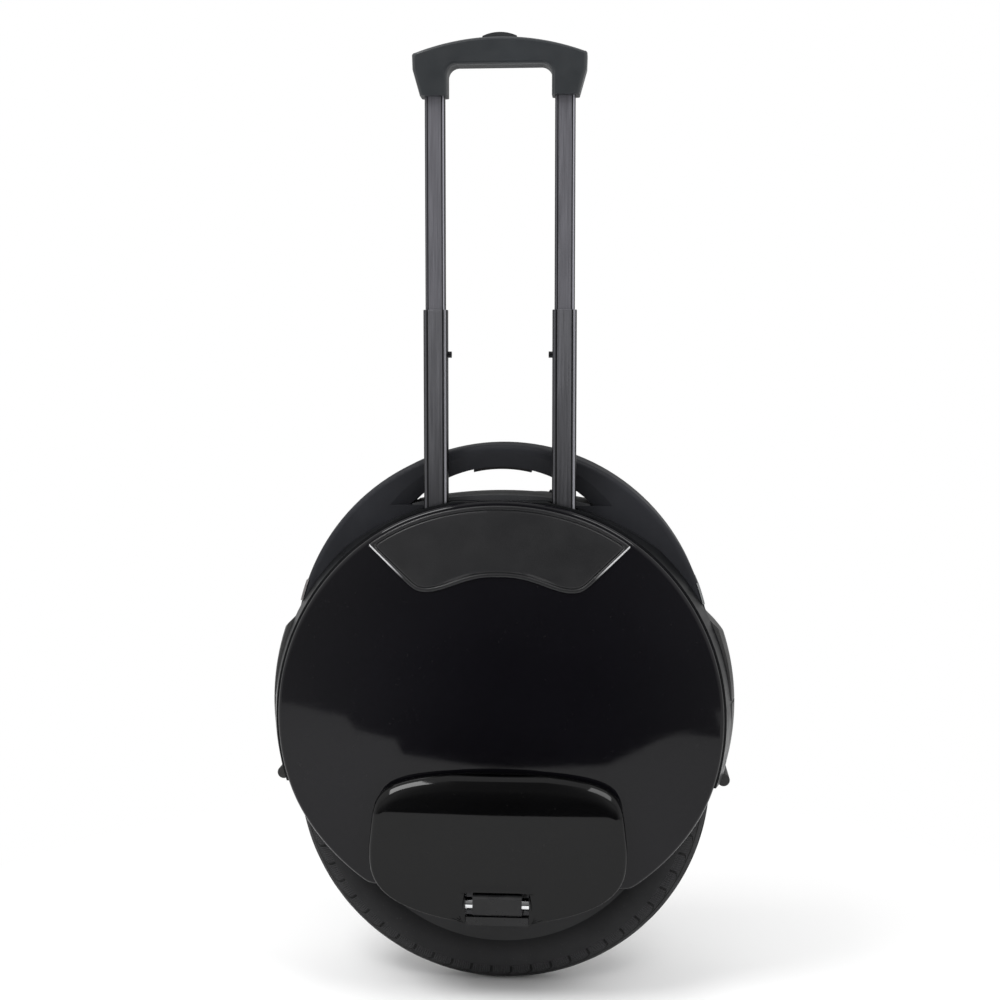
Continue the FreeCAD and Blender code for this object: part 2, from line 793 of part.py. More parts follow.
def make_hanger():
    """The alloy plate that carries a pedal from the axle, with the knuckle of the pedal's hinge."""
    plate = rod_y(hanger_disc_radius, pod_back, hanger_face, 0, axle_height)
    wing = hanger_wing_reach
    wings = block(-wing, wing, pod_back, hanger_face, hanger_wing_low, hanger_wing_high)
    low = pedal_hinge_height - knuckle_half_height
    lip_low = low - knuckle_lip
    stem_half = hanger_stem_half_width
    stem = block(-stem_half, stem_half, pod_back, hanger_face, lip_low, axle_height)
    half = knuckle_half_width
    high = pedal_hinge_height + knuckle_half_height
    arm = block(-half, half, hanger_face, hinge_side, low, high)
    barrel = rod_x(knuckle_radius, -half, half, hinge_side, pedal_hinge_height)
    face = pedal_outer_face
    nose = block(-half, half, hinge_side, face, low, high).common(barrel)
    lip_half = hinge_lip_half_width
    lip = block(-lip_half, lip_half, hinge_side, hinge_lip_face, lip_low, low)
    lip = lip.fuse(block(-half, half, hanger_face, hinge_side, lip_low, low))
    hanger = plate.fuse([wings, stem, arm, nose, lip]).removeSplitter()
    reach = (pod_back - cut_over, hanger_face + cut_over)
    hanger = hanger.cut(axle_hole(axle_radius + seat_gap, axle_flat_half_width + seat_gap, *reach))
    for place, height in hanger_bolt_places():
        hanger = hanger.cut(rod_y(hanger_bolt_radius + seat_gap, *reach, place, height))
    bore_half = half + cut_over
    bore = rod_x(hinge_pin_radius + seat_gap, -bore_half, bore_half, hinge_side, pedal_hinge_height)
    return hanger.cut(bore)


def make_hanger_bolts():
    """The bolts that hold both hangers to the pods."""
    bolts = []
    for place, height in hanger_bolt_places():
        shank = rod_y(hanger_bolt_radius, fender_half_width, hanger_face, place, height)
        head_end = hanger_face + hanger_bolt_head_height
        head = rod_y(hanger_bolt_head_radius, hanger_face, head_end, place, height)
        bolts.append(shank.fuse(head))
    return both_sides(Part.makeCompound(bolts))


def make_axle_nuts():
    """The hexagon nuts on both ends of the axle."""
    corners = []
    for index in range(7):
        angle = math.radians(60 * index)
        x = nut_radius * math.cos(angle)
        corners.append(Vector(x, hanger_face, axle_height + nut_radius * math.sin(angle)))
    nut = Part.Face(Part.makePolygon(corners)).extrude(Vector(0, nut_height, 0))
    end = hanger_face + nut_height + cut_over
    return both_sides(nut.cut(rod_y(axle_radius + seat_gap, hanger_face - cut_over, end, 0, axle_height)))


def make_hinge_pins():
    """The chrome pins that the pedals turn on."""
    half = hinge_pin_half_length
    return both_sides(rod_x(hinge_pin_radius, -half, half, hinge_side, pedal_hinge_height))


def pedal_outline(margin):
    """The outline of a folded pedal: bowed top, round ends and a lower edge that follows the body."""
    ends = pedal_half_length - margin
    top = pedal_top_height - margin
    top_reach = pedal_top_corner_reach - margin / 2
    top_side = pedal_top_corner_height - margin
    low_reach = pedal_low_corner_reach - margin
    low_side = pedal_low_corner_height + margin / 2
    low = pedal_low_height + margin
    bulge = pedal_side_bulge_share
    upper_x = (top_reach + ends) / 2 + bulge * (top_side - pedal_wide_height)
    upper_z = (top_side + pedal_wide_height) / 2 + bulge * (ends - top_reach)
    lower_x = (low_reach + ends) / 2 + bulge * (pedal_wide_height - low_side) / 2
    lower_z = (low_side + pedal_wide_height) / 2 - bulge * (ends - low_reach)
    return [
        (-top_reach, top_side, False),
        (0, top, True),
        (top_reach, top_side, False),
        (upper_x, upper_z, True),
        (ends, pedal_wide_height, False),
        (lower_x, lower_z, True),
        (low_reach, low_side, False),
        (0, low, True),
        (-low_reach, low_side, False),
        (-lower_x, lower_z, True),
        (-ends, pedal_wide_height, False),
        (-upper_x, upper_z, True),
    ]


def make_pedal():
    """A pedal with its underside out, notched for the hinge knuckle and bored for the pin."""
    pedal = rounded_plate(pedal_outline, pedal_inner_face, pedal_outer_face, pedal_edge_round)
    half = hinge_notch_half_width
    reach = (pedal_inner_face - cut_over, pedal_outer_face + cut_over)
    pedal = pedal.cut(block(-half, half, *reach, pedal_low_height - cut_over, hinge_notch_height))
    hole_reach = hinge_pin_half_length + pin_gap
    hole = rod_x(hinge_pin_radius + pin_gap, -hole_reach, hole_reach, hinge_side, pedal_hinge_height)
    return pedal.cut(hole)


def make_pedal_tread():
    """The rough tread on the face that a foot stands on."""
    face = pedal_inner_face - pedal_tread_thickness
    tread = plate_y(pedal_outline(pedal_tread_margin), face, pedal_inner_face)
    return tread.common(slab_between(hinge_notch_height + pedal_tread_margin, pedal_top_height))


def rounded_disc(radius, half_width, corner, z):
    """A disc with its rim rounded on both sides."""
    bend = corner * (1 - math.sqrt(0.5))
    flat = half_width - corner
    profile = [
        (0, -half_width, False),
        (radius - corner, -half_width, False),
        (radius - bend, -half_width + bend, True),
        (radius, -flat, False),
        (radius, flat, False),
        (radius - bend, half_width - bend, True),
        (radius - corner, half_width, False),
        (0, half_width, False),
    ]
    return turned_y(profile, z)


def arch_disc(growth, half_width):
    """The disc of the fender's arch, grown by a small amount."""
    return rod_y(arch_radius + growth, -half_width, half_width, 0, arch_centre_height)


def wheel_well(growth):
    """The round space that the wheel turns in, grown by a wall."""
    reach = fender_half_width + cut_over
    return rod_y(wheel_well_radius + growth, -reach, reach, 0, axle_height)


def above(height):
    """All that lies above a height."""
    return slab_between(height, release_top)


def make_fender():
    """Half of the hollow fender, with its share of the carry handle, the hand window and the lens seats."""
    shell = rounded_disc(arch_radius, fender_half_width, arch_edge_round, arch_centre_height)
    shell = shell.cut(wheel_well(0)).common(above(fender_foot_height))
    inner_side = fender_half_width - fender_wall
    core = rod_y(handle_core_radius, -fender_half_width, fender_half_width, 0, window_centre_height)
    core = core.common(above(window_floor_height - fender_wall))
    hollow = arch_disc(-fender_wall, inner_side).cut(wheel_well(fender_wall)).cut(core)
    hollow = hollow.common(above(fender_foot_height + fender_wall))
    side = fender_half_width + cut_over
    window = rod_y(window_radius, -side, side, 0, window_centre_height)
    scoop_ends = (fender_half_width - scoop_depth, fender_half_width)
    scoop = cone_y(window_radius, window_radius + scoop_width, *scoop_ends, window_centre_height)
    window = window.fuse([scoop, near_side(scoop)]).common(above(window_floor_height))
    fender = shell.cut(hollow).cut(window).cut(lift_pocket()).cut(lens_seats())
    far = 2 * arch_radius
    return fender.common(block(-far, far, 0, far, 0, release_top))


def cable_hole():
    """The hole for the motor cable from the far pod into the fender."""
    return rod_y(cable_radius + slide_gap, fender_half_width / 2, pod_back + cut_over, 0, cable_entry_height)


def make_fender_far():
    """The far half of the fender, with the hole for the motor cable."""
    return make_fender().cut(cable_hole())


def lift_pocket():
    """The stepped pocket of the lift button in the carry handle."""
    half_length = lift_half_length + slide_gap
    half_width = lift_half_width + slide_gap
    low = window_floor_height + cut_over
    stem = block(-half_length, half_length, -half_width, half_width, low, lift_ledge_height + cut_over)
    half_length += lift_flange
    half_width += lift_flange
    high = lift_ledge_height + lift_flange_thickness + lift_travel + 2 * slide_gap
    return stem.fuse(block(-half_length, half_length, -half_width, half_width, lift_ledge_height, high))


def make_lift_button():
    """The long button under the carry handle that stops the motor when the part is lifted."""
    face_radius = window_radius - lift_stand_out
    low = window_centre_height + math.sqrt(face_radius ** 2 - lift_half_length ** 2) - cut_over
    flange_low = lift_ledge_height + seat_gap
    stem = block(-lift_half_length, lift_half_length, -lift_half_width, lift_half_width, low, flange_low)
    reach = lift_half_width + cut_over
    stem = stem.cut(rod_y(face_radius, -reach, reach, 0, window_centre_height))
    half_length = lift_half_length + lift_flange
    half_width = lift_half_width + lift_flange
    flange_high = flange_low + lift_flange_thickness
    return stem.fuse(block(-half_length, half_length, -half_width, half_width, flange_low, flange_high))


def make_deck_strip():
    """The bowed strip under the carry handle."""
    radius = (deck_half_length ** 2 + deck_end_drop ** 2) / (2 * deck_end_drop)
    reach = fender_half_width
    bow = rod_y(radius, -reach, reach, 0, deck_crest_height - radius)
    half = deck_half_length
    return bow.common(block(-half, half, -reach, reach, window_floor_height, deck_crest_height))


def crowned_body(shrink):
    """The barrel-shaped body that the bumpers and light lenses are cut from."""
    half = fender_half_width
    edge = bumper_side_radius - shrink
    profile = [
        (0, -half, False),
        (edge, -half, False),
        (bumper_radius - shrink, 0, True),
        (edge, half, False),
        (0, half, False),
    ]
    return turned_y(profile, body_centre_height)


def front_end(z_from, z_to):
    """All that lies ahead of the middle between two heights."""
    reach = 2 * bumper_radius
    return block(0, reach, -reach, reach, z_from, z_to)


def end_shell(z_from, z_to, low_wall, high_wall):
    """A hollow piece of the body's end, open toward the fender."""
    half = fender_half_width + cut_over
    solid = crowned_body(0).common(front_end(z_from, z_to)).cut(wheel_well(0))
    solid = solid.cut(arch_disc(seat_gap, half).common(above(fender_foot_height - seat_gap)))
    room = crowned_body(bumper_skin).common(front_end(z_from + low_wall, z_to - high_wall))
    side = fender_half_width - bumper_skin
    room = room.common(block(0, 2 * bumper_radius, -side, side, z_from, z_to))
    return solid.cut(room.cut(wheel_well(bumper_skin)))


def make_bumper():
    """The front bumper: bevelled top, a seam across it and a hollow for the rubber plug at its lower end."""
    half = plug_half_length
    plug_room = rod_y(plug_radius + seat_gap, -half, half, plug_place_radius, plug_height)
    slope = 2 * bumper_bevel
    bumper = end_shell(plug_height, bumper_top, bumper_skin + plug_radius, bumper_skin + slope).cut(plug_room)
    bevel_rise = bumper_top - bumper_bevel - body_centre_height
    start = math.sqrt(bumper_side_radius ** 2 - bevel_rise ** 2) - bumper_bevel
    corners = [
        (start, bumper_top, False),
        (start + slope, bumper_top - slope, False),
        (start + slope, bumper_top, False),
    ]
    bumper = bumper.cut(plate_y(corners, -fender_half_width, fender_half_width))
    seam = slab_between(bumper_seam_low, bumper_seam_high).cut(crowned_body(bumper_seam_depth))
    return bumper.cut(seam)


def make_bumper_plugs():
    """The round rubber plugs at the lower ends of the bumpers."""
    return both_ends(rod_y(plug_radius, -plug_half_length, plug_half_length, plug_place_radius, plug_height))


def arch_band(outer, inner, half_width, z_from, z_to):
    """A curved band along the front of the fender's arch, between two depths and two heights."""
    band = arch_disc(outer, half_width).cut(arch_disc(inner, half_width + cut_over))
    return band.common(front_end(z_from, z_to))


def make_lens():
    """The light lens above the front bumper, let into the fender's arch."""
    return arch_band(lens_stand_out, -lens_depth, fender_half_width, lens_low, lens_top)


def lens_seats():
    """The seats of both lenses in the fender, with the windows that the lamps shine through."""
    side = fender_half_width + cut_over
    low = lens_low - seat_gap
    seat = arch_band(cut_over, -lens_depth - seat_gap, side, low, lens_top + seat_gap)
    half = light_board_half_width - lens_window_rim
    low = light_board_low + lens_window_rim
    high = light_board_low + light_board_height - lens_window_rim
    return both_ends(seat.fuse(arch_band(0, -fender_wall - cut_over, half, low, high)))


def light_board():
    """The lamp board inside the fender, behind the front lens."""
    face = -fender_wall - seat_gap
    back = face - light_board_thickness
    high = light_board_low + light_board_height
    return arch_band(face, back, light_board_half_width, light_board_low, high)


def make_light_boards():
    """The lamp boards behind both lenses."""
    return both_ends(light_board())


def cover_top_disc(growth, y_from, y_to):
    """The flatter disc that ends the covers and pods at their top, grown by a small amount."""
    return rod_y(cover_top_radius + growth, y_from, y_to, 0, cover_top_centre_height)


def cover_foot_disc(growth, y_from, y_to):
    """The flatter disc that ends the covers and pods at their foot, grown by a small amount."""
    return rod_y(cover_foot_radius + growth, y_from, y_to, 0, cover_foot_centre_height)


def cover_disc(growth, y_from, y_to):
    """The round outline of a side cover, flatter at its top and foot, grown by a small amount."""
    disc = rod_y(cover_radius + growth, y_from, y_to, 0, cover_centre_height)
    disc = disc.common(cover_top_disc(growth, y_from, y_to))
    return disc.common(cover_foot_disc(growth, y_from, y_to))


def pod_body(shrink, y_from, y_to, z_from, z_to, step):
    """The pod's form: a cone that narrows outward, with a smaller drum below the bumpers."""
    slope = (pod_front_radius - pod_rim_radius) / (pod_front - fender_half_width)
    start = pod_rim_radius - shrink + slope * (y_from - fender_half_width)
    end = pod_rim_radius - shrink + slope * (y_to - fender_half_width)
    upper = cone_y(start, end, y_from, y_to, cover_centre_height).common(slab_between(step, z_to))
    lower = rod_y(pod_lower_radius - shrink, y_from, y_to, 0, cover_centre_height)
    lower = lower.common(cover_foot_disc(-pod_lower_inset - shrink, y_from, y_to))
    pod = upper.fuse(lower.common(slab_between(z_from, z_to)))
    return pod.common(cover_top_disc(pod_lip - shrink, y_from, y_to)).removeSplitter()


def make_pod():
    """A pod: back wall beside the wheel, rim wall, floor and top, with the slot for the axle."""
    limits = (pod_floor_height, pod_top_height)
    pod = pod_body(0, fender_half_width, pod_front, *limits, pod_step_height)
    inner = (pod_floor_height + pod_wall, pod_top_height - pod_wall, pod_step_height + pod_wall)
    pod = pod.cut(pod_body(pod_wall, pod_back, pod_front + cut_over, *inner))
    half = axle_slot_half_width
    reach = (fender_half_width - cut_over, pod_back + cut_over)
    slot = block(-half, half, *reach, pod_floor_height - cut_over, axle_height)
    slot = slot.fuse(rod_y(half, *reach, 0, axle_height))
    stem_half = hanger_stem_half_width + seat_gap
    stem_top = pod_floor_height + pod_wall + cut_over
    sides = (pod_back, hanger_face + seat_gap)
    stem = block(-stem_half, stem_half, *sides, pod_floor_height - cut_over, stem_top)
    pod = pod.cut(slot).cut(stem)
    for place, height in hanger_bolt_places():
        pod = pod.cut(rod_y(hanger_bolt_radius + seat_gap, *reach, place, height))
    return pod


def lock_pin_room(z_from, z_to):
    """The upright slot that a lock pin passes along."""
    half = lock_pin_radius + slide_gap
    ends = (lock_pin_tip - slide_gap, lock_pin_tip + lock_pin_stand_out)
    return block(*ends, trolley_side - half, trolley_side + half, z_from, z_to)


def make_pod_near():
    """The near pod, with the openings that the trolley's sleeves stand in."""
    size = (sleeve_width + 2 * seat_gap, sleeve_depth + 2 * seat_gap, sleeve_corner)
    reach = (pod_top_height - sleeve_opening_depth, pod_top_height + cut_over)
    opening = upright_slab(*size, trolley_reach, trolley_side, *reach).fuse(lock_pin_room(*reach))
    return near_side(make_pod().cut(both_ends(opening)))


def make_pod_far():
    """The far pod, with holes for the cable, the power button and the charge port, and the cap's ears."""
    reach = (pod_top_height - pod_wall - cut_over, pod_top_height + cut_over)
    pod = make_pod().cut(cable_hole())
    pod = pod.cut(rod_z(button_radius + slide_gap, *reach, -port_reach, trolley_side))
    pod = pod.cut(rod_z(port_radius + seat_gap, *reach, port_reach, trolley_side))
    start = trolley_side + cap_barrel_half_length + slide_gap
    radius = cap_barrel_radius
    ear = rod_y(radius, start, start + cap_ear_thickness, cap_hinge_reach, cap_hinge_height)
    foot = block(cap_hinge_reach - radius, cap_hinge_reach + radius, start, start + cap_ear_thickness,
                 pod_top_height - pod_wall, cap_hinge_height)
    ear = ear.fuse(foot)
    other = ear.mirror(Vector(0, trolley_side, 0), Vector(0, 1, 0))
    pod = pod.fuse([ear, other]).removeSplitter()
    pin_reach = cap_barrel_half_length + slide_gap + cap_ear_thickness + cut_over
    hole_ends = (trolley_side - pin_reach, trolley_side + pin_reach)
    return pod.cut(rod_y(cap_pin_radius + seat_gap, *hole_ends, cap_hinge_reach, cap_hinge_height))


def dome(rise):
    """The domed form of a side cover, raised by a small amount."""
    crown = pod_front + cover_crown + rise
    shoulder_side = pod_front + cover_shoulder_rise + rise
    shoulder = cover_shoulder_radius
    drop = crown - shoulder_side
    ball = (shoulder ** 2 + drop ** 2) / (2 * drop)
    half_radius = shoulder / 2
    half_side = crown - ball + math.sqrt(ball ** 2 - half_radius ** 2)
    rim = cover_radius + rise
    bend = (rim - shoulder) * math.sqrt(0.5)
    bend_side = pod_front + (shoulder_side - pod_front) * math.sqrt(0.5)
    profile = [
        (0, pod_front, False),
        (0, crown, False),
        (half_radius, half_side, True),
        (shoulder, shoulder_side, False),
        (shoulder + bend, bend_side, True),
        (rim, pod_front, False),
    ]
    return turned_y(profile, cover_centre_height)


def make_side_cover():
    """A glossy domed side cover, cut flat above the pedal's hinge."""
    ends = (pod_front, pod_front + 2 * cover_crown)
    cover = dome(0).common(cover_disc(0, *ends)).common(above(pod_floor_height))
    room = dome(-cover_wall).common(cover_disc(-cover_wall, *ends))
    return cover.cut(room.common(above(pod_floor_height + cover_wall)))


def pad_outline(margin):
    """The outline of a leg pad: slanted ends, two lobes below and a raised middle between them."""
    outer = pad_lobe_reach + pad_lobe_half_width - margin / 2
    inner = pad_lobe_reach - pad_lobe_half_width - margin / 2
    lobe = cover_top_height - pad_lobe_drop + margin
    lobe_reach = pad_lobe_reach - margin / 2
    lobe_side = lobe + pad_lobe_round
    corner_reach = pad_corner_reach - margin / 2
    corner = cover_top_height - pad_corner_drop + margin
    top = cover_top_height - margin
    return [
        (-corner_reach, top, False),
        (corner_reach, top, False),
        (corner_reach, corner, False),
        (outer, lobe_side, False),
        (lobe_reach, lobe, True),
        (inner, lobe_side, False),
        (0, cover_top_height - pad_crest_drop + margin, True),
        (-inner, lobe_side, False),
        (-lobe_reach, lobe, True),
        (-outer, lobe_side, False),
        (-corner_reach, corner, False),
    ]


def pad_prism(margin):
    """All that lies over a leg pad's outline, with a margin inside its edges."""
    ends = (pod_front, pod_front + 2 * cover_crown)
    limit = cover_disc(-cover_edge - pad_rim_margin - margin, *ends)
    return plate_y(pad_outline(margin), *ends).common(limit)


def make_leg_pad():
    """The satin pad that a rider's leg rests on, on the cover's dome, with a channel inside its edge."""
    pad = dome(pad_thickness).cut(dome(seat_gap)).common(pad_prism(0))
    channel = pad_prism(pad_channel_margin).cut(pad_prism(pad_channel_margin + pad_channel_width))
    return pad.cut(channel.cut(dome(pad_thickness - pad_channel_depth)))


def make_battery_near():
    """The battery pack between the trolley's sleeves."""
    half = battery_near_half_width
    depth = (pod_back, pod_back + battery_depth)
    return near_side(block(-half, half, *depth, battery_near_low, battery_near_high))


def make_batteries_far():
    """The two battery packs in the far pod, with the cable's way between them."""
    depth = (pod_back, pod_back + battery_depth)
    pack = block(battery_far_inner, battery_far_outer, *depth, battery_far_low, battery_far_high)
    return both_ends(pack)


def make_heat_sink():
    """The controller's heat sink, under the fender's hand window."""
    half = heat_sink_half_length
    side = heat_sink_half_width
    return block(-half, half, -side, side, board_top, heat_sink_top)


def make_control_board():
    """The control board, under the heat sink."""
    half = heat_sink_half_length
    side = heat_sink_half_width
    return block(-half, half, -side, side, capacitor_top, board_top)


def make_capacitors():
    """The capacitors that hang from the control board."""
    cans = []
    for index in range(capacitor_count):
        x = (index - (capacitor_count - 1) / 2) * capacitor_spacing
        low = capacitor_top - capacitor_length
        cans.append(rod_z(capacitor_radius, low, capacitor_top, x, -capacitor_side))
    return Part.makeCompound(cans)


def make_power_button():
    """The round power button on top of the far pod."""
    ceiling = pod_top_height - pod_wall
    flange_high = ceiling - seat_gap
    flange_low = flange_high - button_flange_thickness
    place = (-port_reach, trolley_side)
    stem = rod_z(button_radius, flange_low, pod_top_height + button_stand_out, *place)
    return stem.fuse(rod_z(button_radius + button_flange, flange_low, flange_high, *place))


def make_power_switch():
    """The cup under the power button, fixed to the pod's top."""
    ceiling = pod_top_height - pod_wall
    low = ceiling - switch_depth
    place = (-port_reach, trolley_side)
    inner = button_radius + button_flange + slide_gap
    floor_high = ceiling - button_flange_thickness - button_travel - 2 * slide_gap
    cup = rod_z(inner + switch_wall, low, ceiling, *place)
    return cup.cut(rod_z(inner, floor_high, ceiling + cut_over, *place))


def make_charge_port():
    """The charge socket in the top of the far pod."""
    ceiling = pod_top_height - pod_wall
    low = pod_top_height - port_depth
    place = (port_reach, trolley_side)
    body = rod_z(port_radius, low, pod_top_height, *place)
    flange = rod_z(port_radius + port_flange, ceiling - port_flange_thickness, ceiling, *place)
    bore = rod_z(port_bore_radius, low + port_floor, pod_top_height + cut_over, *place)
    return body.fuse(flange).cut(bore)


def make_charge_contacts():
    """The contact pins in the charge socket."""
    low = pod_top_height - port_depth + port_floor
    pins = []
    for index in range(contact_count):
        angle = math.radians(360 * index / contact_count)
        x = port_reach + contact_pitch_radius * math.cos(angle)
        y = trolley_side + contact_pitch_radius * math.sin(angle)
        pins.append(rod_z(contact_radius, low, low + contact_length, x, y))
    return Part.makeCompound(pins)


def make_charge_cap():
    """The hinged cap of the charge socket."""
    disc = rod_z(cap_radius, cap_low, cap_low + cap_thickness, port_reach, trolley_side)
    half = cap_barrel_half_length
    ends = (trolley_side - half, trolley_side + half)
    barrel = rod_y(cap_barrel_radius, *ends, cap_hinge_reach, cap_hinge_height)
    tab = block(port_reach, cap_hinge_reach, *ends, cap_low, cap_low + cap_thickness)
    bore_ends = (ends[0] - cut_over, ends[1] + cut_over)
    bore = rod_y(cap_pin_radius + pin_gap, *bore_ends, cap_hinge_reach, cap_hinge_height)
    return disc.fuse([tab, barrel]).cut(bore)


def make_charge_cap_pin():
    """The pin of the charge cap's hinge."""
    reach = cap_barrel_half_length + slide_gap + cap_ear_thickness
    ends = (trolley_side - reach, trolley_side + reach)
    return rod_y(cap_pin_radius, *ends, cap_hinge_reach, cap_hinge_height)


def make_sleeves():
    """The two fixed sleeves of the trolley, each slotted for a lock pin."""
    size = (sleeve_width, sleeve_depth, sleeve_wall, sleeve_corner)
    sleeves = pair_of_tubes(*size, sleeve_low, sleeve_top)
    room = lock_pin_room(sleeve_slot_low, sleeve_top + cut_over)
    return near_side(sleeves.cut(both_ends(room)))


def lock_pin(radius):
    """A lock pin on the inner side of the front mid tube."""
    root = lock_pin_tip + lock_pin_stand_out + mid_tube_wall
    return rod_x(radius, lock_pin_tip, root, trolley_side, lock_pin_height)


def make_mid_tubes():
    """The middle tubes of the trolley."""
    size = (mid_tube_width, mid_tube_depth, mid_tube_wall, mid_tube_corner)
    tubes = pair_of_tubes(*size, mid_tube_low, mid_tube_top)
    return near_side(tubes.cut(both_ends(lock_pin(lock_pin_radius + seat_gap))))


def make_lock_pins():
    """The small pins that show on the middle tubes."""
    return near_side(both_ends(lock_pin(lock_pin_radius)))


def make_upper_tubes():
    """The upper tubes of the trolley, which carry the grip."""
    size = (upper_tube_width, upper_tube_depth, upper_tube_wall, tube_corner)
    return near_side(pair_of_tubes(*size, upper_tube_low, grip_socket_top))


def grip_outline(margin):
    """The outline of the grip: bowed top, round corners, tapering legs and an open middle."""
    bend = grip_corner_round
    corner = grip_corner_reach - margin
    corner_side = grip_corner_height - margin / 2
    inner = grip_leg_inner + margin
    gap_top = grip_gap_height + margin
    gap_bend = grip_gap_round * (1 - math.sqrt(0.5))
    half = [
        (corner - bend, corner_side + bend, False),
        (corner - bend * (1 - math.sqrt(0.5)), corner_side + bend * math.sqrt(0.5), True),
        (corner, corner_side, False),
        (grip_break_reach - margin, grip_break_height, False),
        (grip_leg_outer - margin, grip_low, False),
        (inner, grip_low, False),
        (inner, gap_top - grip_gap_round, False),
        (inner - gap_bend, gap_top - gap_bend, True),
        (inner - grip_gap_round, gap_top, False),
    ]
    other = [(-x, z, is_arc) for x, z, is_arc in reversed(half)]
    return half + other + [(0, grip_crown_height - margin, True)]


def grip_screw(radius, head_radius, over):
    """A grip screw, driven from the side that faces the carry handle."""
    back = trolley_side - grip_depth / 2
    head_end = back + grip_screw_head_height
    shank = rod_y(radius, back, back + grip_screw_length, grip_screw_reach, grip_screw_height)
    return shank.fuse(rod_y(head_radius, back - over, head_end, grip_screw_reach, grip_screw_height))


def make_grip():
    """The whole grip, with its sockets, button pocket and screw holes."""
    half_depth = grip_depth / 2
    front = rounded_plate(grip_outline, trolley_side, trolley_side + half_depth, grip_edge_round)
    grip = front.fuse(front.mirror(Vector(0, trolley_side, 0), Vector(0, 1, 0)))
    size = (upper_tube_width + 2 * seat_gap, upper_tube_depth + 2 * seat_gap, tube_corner)
    socket = upright_slab(*size, trolley_reach, trolley_side, grip_low - cut_over, grip_socket_top)
    grip = grip.cut(both_ends(socket))
    length = release_half_length + slide_gap
    width = release_half_width + slide_gap
    sides = (trolley_side - width, trolley_side + width)
    stem = block(-length, length, *sides, release_ledge_height - cut_over, release_top)
    length += release_flange
    sides = (sides[0] - release_flange, sides[1] + release_flange)
    low = release_ledge_height - release_flange_thickness - release_travel - 2 * slide_gap
    pocket = stem.fuse(block(-length, length, *sides, low, release_ledge_height))
    screws = grip_screw(grip_screw_radius + seat_gap, grip_screw_head_radius + seat_gap, cut_over)
    return grip.cut(pocket).cut(both_ends(screws))


def make_grip_front():
    """The outer half of the grip."""
    far = 2 * trolley_side
    half = block(-grip_corner_reach, grip_corner_reach, trolley_side, far, grip_low, release_top)
    return near_side(make_grip().common(half))


def make_grip_back():
    """The half of the grip that faces the carry handle."""
    half = block(-grip_corner_reach, grip_corner_reach, 0, trolley_side, grip_low, release_top)
    return near_side(make_grip().common(half))


def make_grip_screws():
    """The two screws that hold the grip's halves together."""
    return near_side(both_ends(grip_screw(grip_screw_radius, grip_screw_head_radius, 0)))


def make_release_button():
    """The trolley's release button, a hump on top of the grip."""
    sides = (trolley_side - release_half_width, trolley_side + release_half_width)
    flange_high = release_ledge_height - seat_gap
    flange_low = flange_high - release_flange_thickness
    half = release_half_length
    rise = release_stand_out - release_shoulder
    radius = (half ** 2 + rise ** 2) / (2 * rise)
    hump = rod_y(radius, *sides, 0, release_top - radius)
    stem = block(-half, half, *sides, flange_low, release_top).common(hump)
    length = half + release_flange
    sides = (sides[0] - release_flange, sides[1] + release_flange)
    return near_side(stem.fuse(block(-length, length, *sides, flange_low, flange_high)))


def on_near_side(make):
    """The near-side twin of a two-sided piece."""
    return lambda: near_side(make())


def at_rear_end(make):
    """The rear twin of a piece at the front end."""
    return lambda: rear_end(make())


nodes = {
    "tyre": make_tyre,
    "inner_tube": make_inner_tube,
    "valve_stem": lambda: valve_path(valve_radius),
    "rim": make_rim,
    "rotor_magnets": make_magnets,
    "motor_cover_near": on_near_side(make_motor_cover),
    "motor_cover_far": make_motor_cover,
    "motor_cover_screws": make_rotor_screws,
    "bearing_outer_races": make_outer_races,
    "bearing_inner_races": make_inner_races,
    "bearing_balls": make_balls,
    "axle": make_axle,
    "stator_carrier": make_stator_carrier,
    "stator_core": make_stator_core,
    "stator_windings": make_stator_windings,
    "motor_cable": make_motor_cable,
    "hanger_near": on_near_side(make_hanger),
    "hanger_far": make_hanger,
    "hanger_bolts": make_hanger_bolts,
    "axle_nuts": make_axle_nuts,
    "hinge_pins": make_hinge_pins,
    "pedal_near": on_near_side(make_pedal),
    "pedal_far": make_pedal,
    "pedal_tread_near": on_near_side(make_pedal_tread),
    "pedal_tread_far": make_pedal_tread,
    "fender_near": on_near_side(make_fender),
    "fender_far": make_fender_far,
    "deck_strip": make_deck_strip,
    "lift_button": make_lift_button,
    "bumper_front": make_bumper,
    "bumper_rear": at_rear_end(make_bumper),
    "bumper_plugs": make_bumper_plugs,
    "headlight_lens": make_lens,
    "tail_light_lens": at_rear_end(make_lens),
    "light_boards": make_light_boards,
    "pod_near": make_pod_near,
    "pod_far": make_pod_far,
    "side_cover_near": on_near_side(make_side_cover),
    "side_cover_far": make_side_cover,
    "leg_pad_near": on_near_side(make_leg_pad),
    "leg_pad_far": make_leg_pad,
    "battery_near": make_battery_near,
    "batteries_far": make_batteries_far,
    "heat_sink": make_heat_sink,
    "control_board": make_control_board,
    "board_capacitors": make_capacitors,
    "power_button": make_power_button,
    "power_switch": make_power_switch,
    "charge_port": make_charge_port,
    "charge_contacts": make_charge_contacts,
    "charge_cap": make_charge_cap,
    "charge_cap_pin": make_charge_cap_pin,
    "trolley_sleeves": make_sleeves,
    "trolley_mid_tubes": make_mid_tubes,
    "trolley_lock_pins": make_lock_pins,
    "trolley_upper_tubes": make_upper_tubes,
    "grip_front": make_grip_front,
    "grip_back": make_grip_back,
    "grip_screws": make_grip_screws,
    "release_button": make_release_button,
}

os.makedirs("parts", exist_ok=True)
for name, make in nodes.items():
    shape = make()
    shape.exportStep("parts/" + name + ".step")
    state = "ok" if shape.isValid() else "not valid"
    print(name, len(shape.Solids), "solids", round(shape.Volume), "mm3", state)
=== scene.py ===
import math

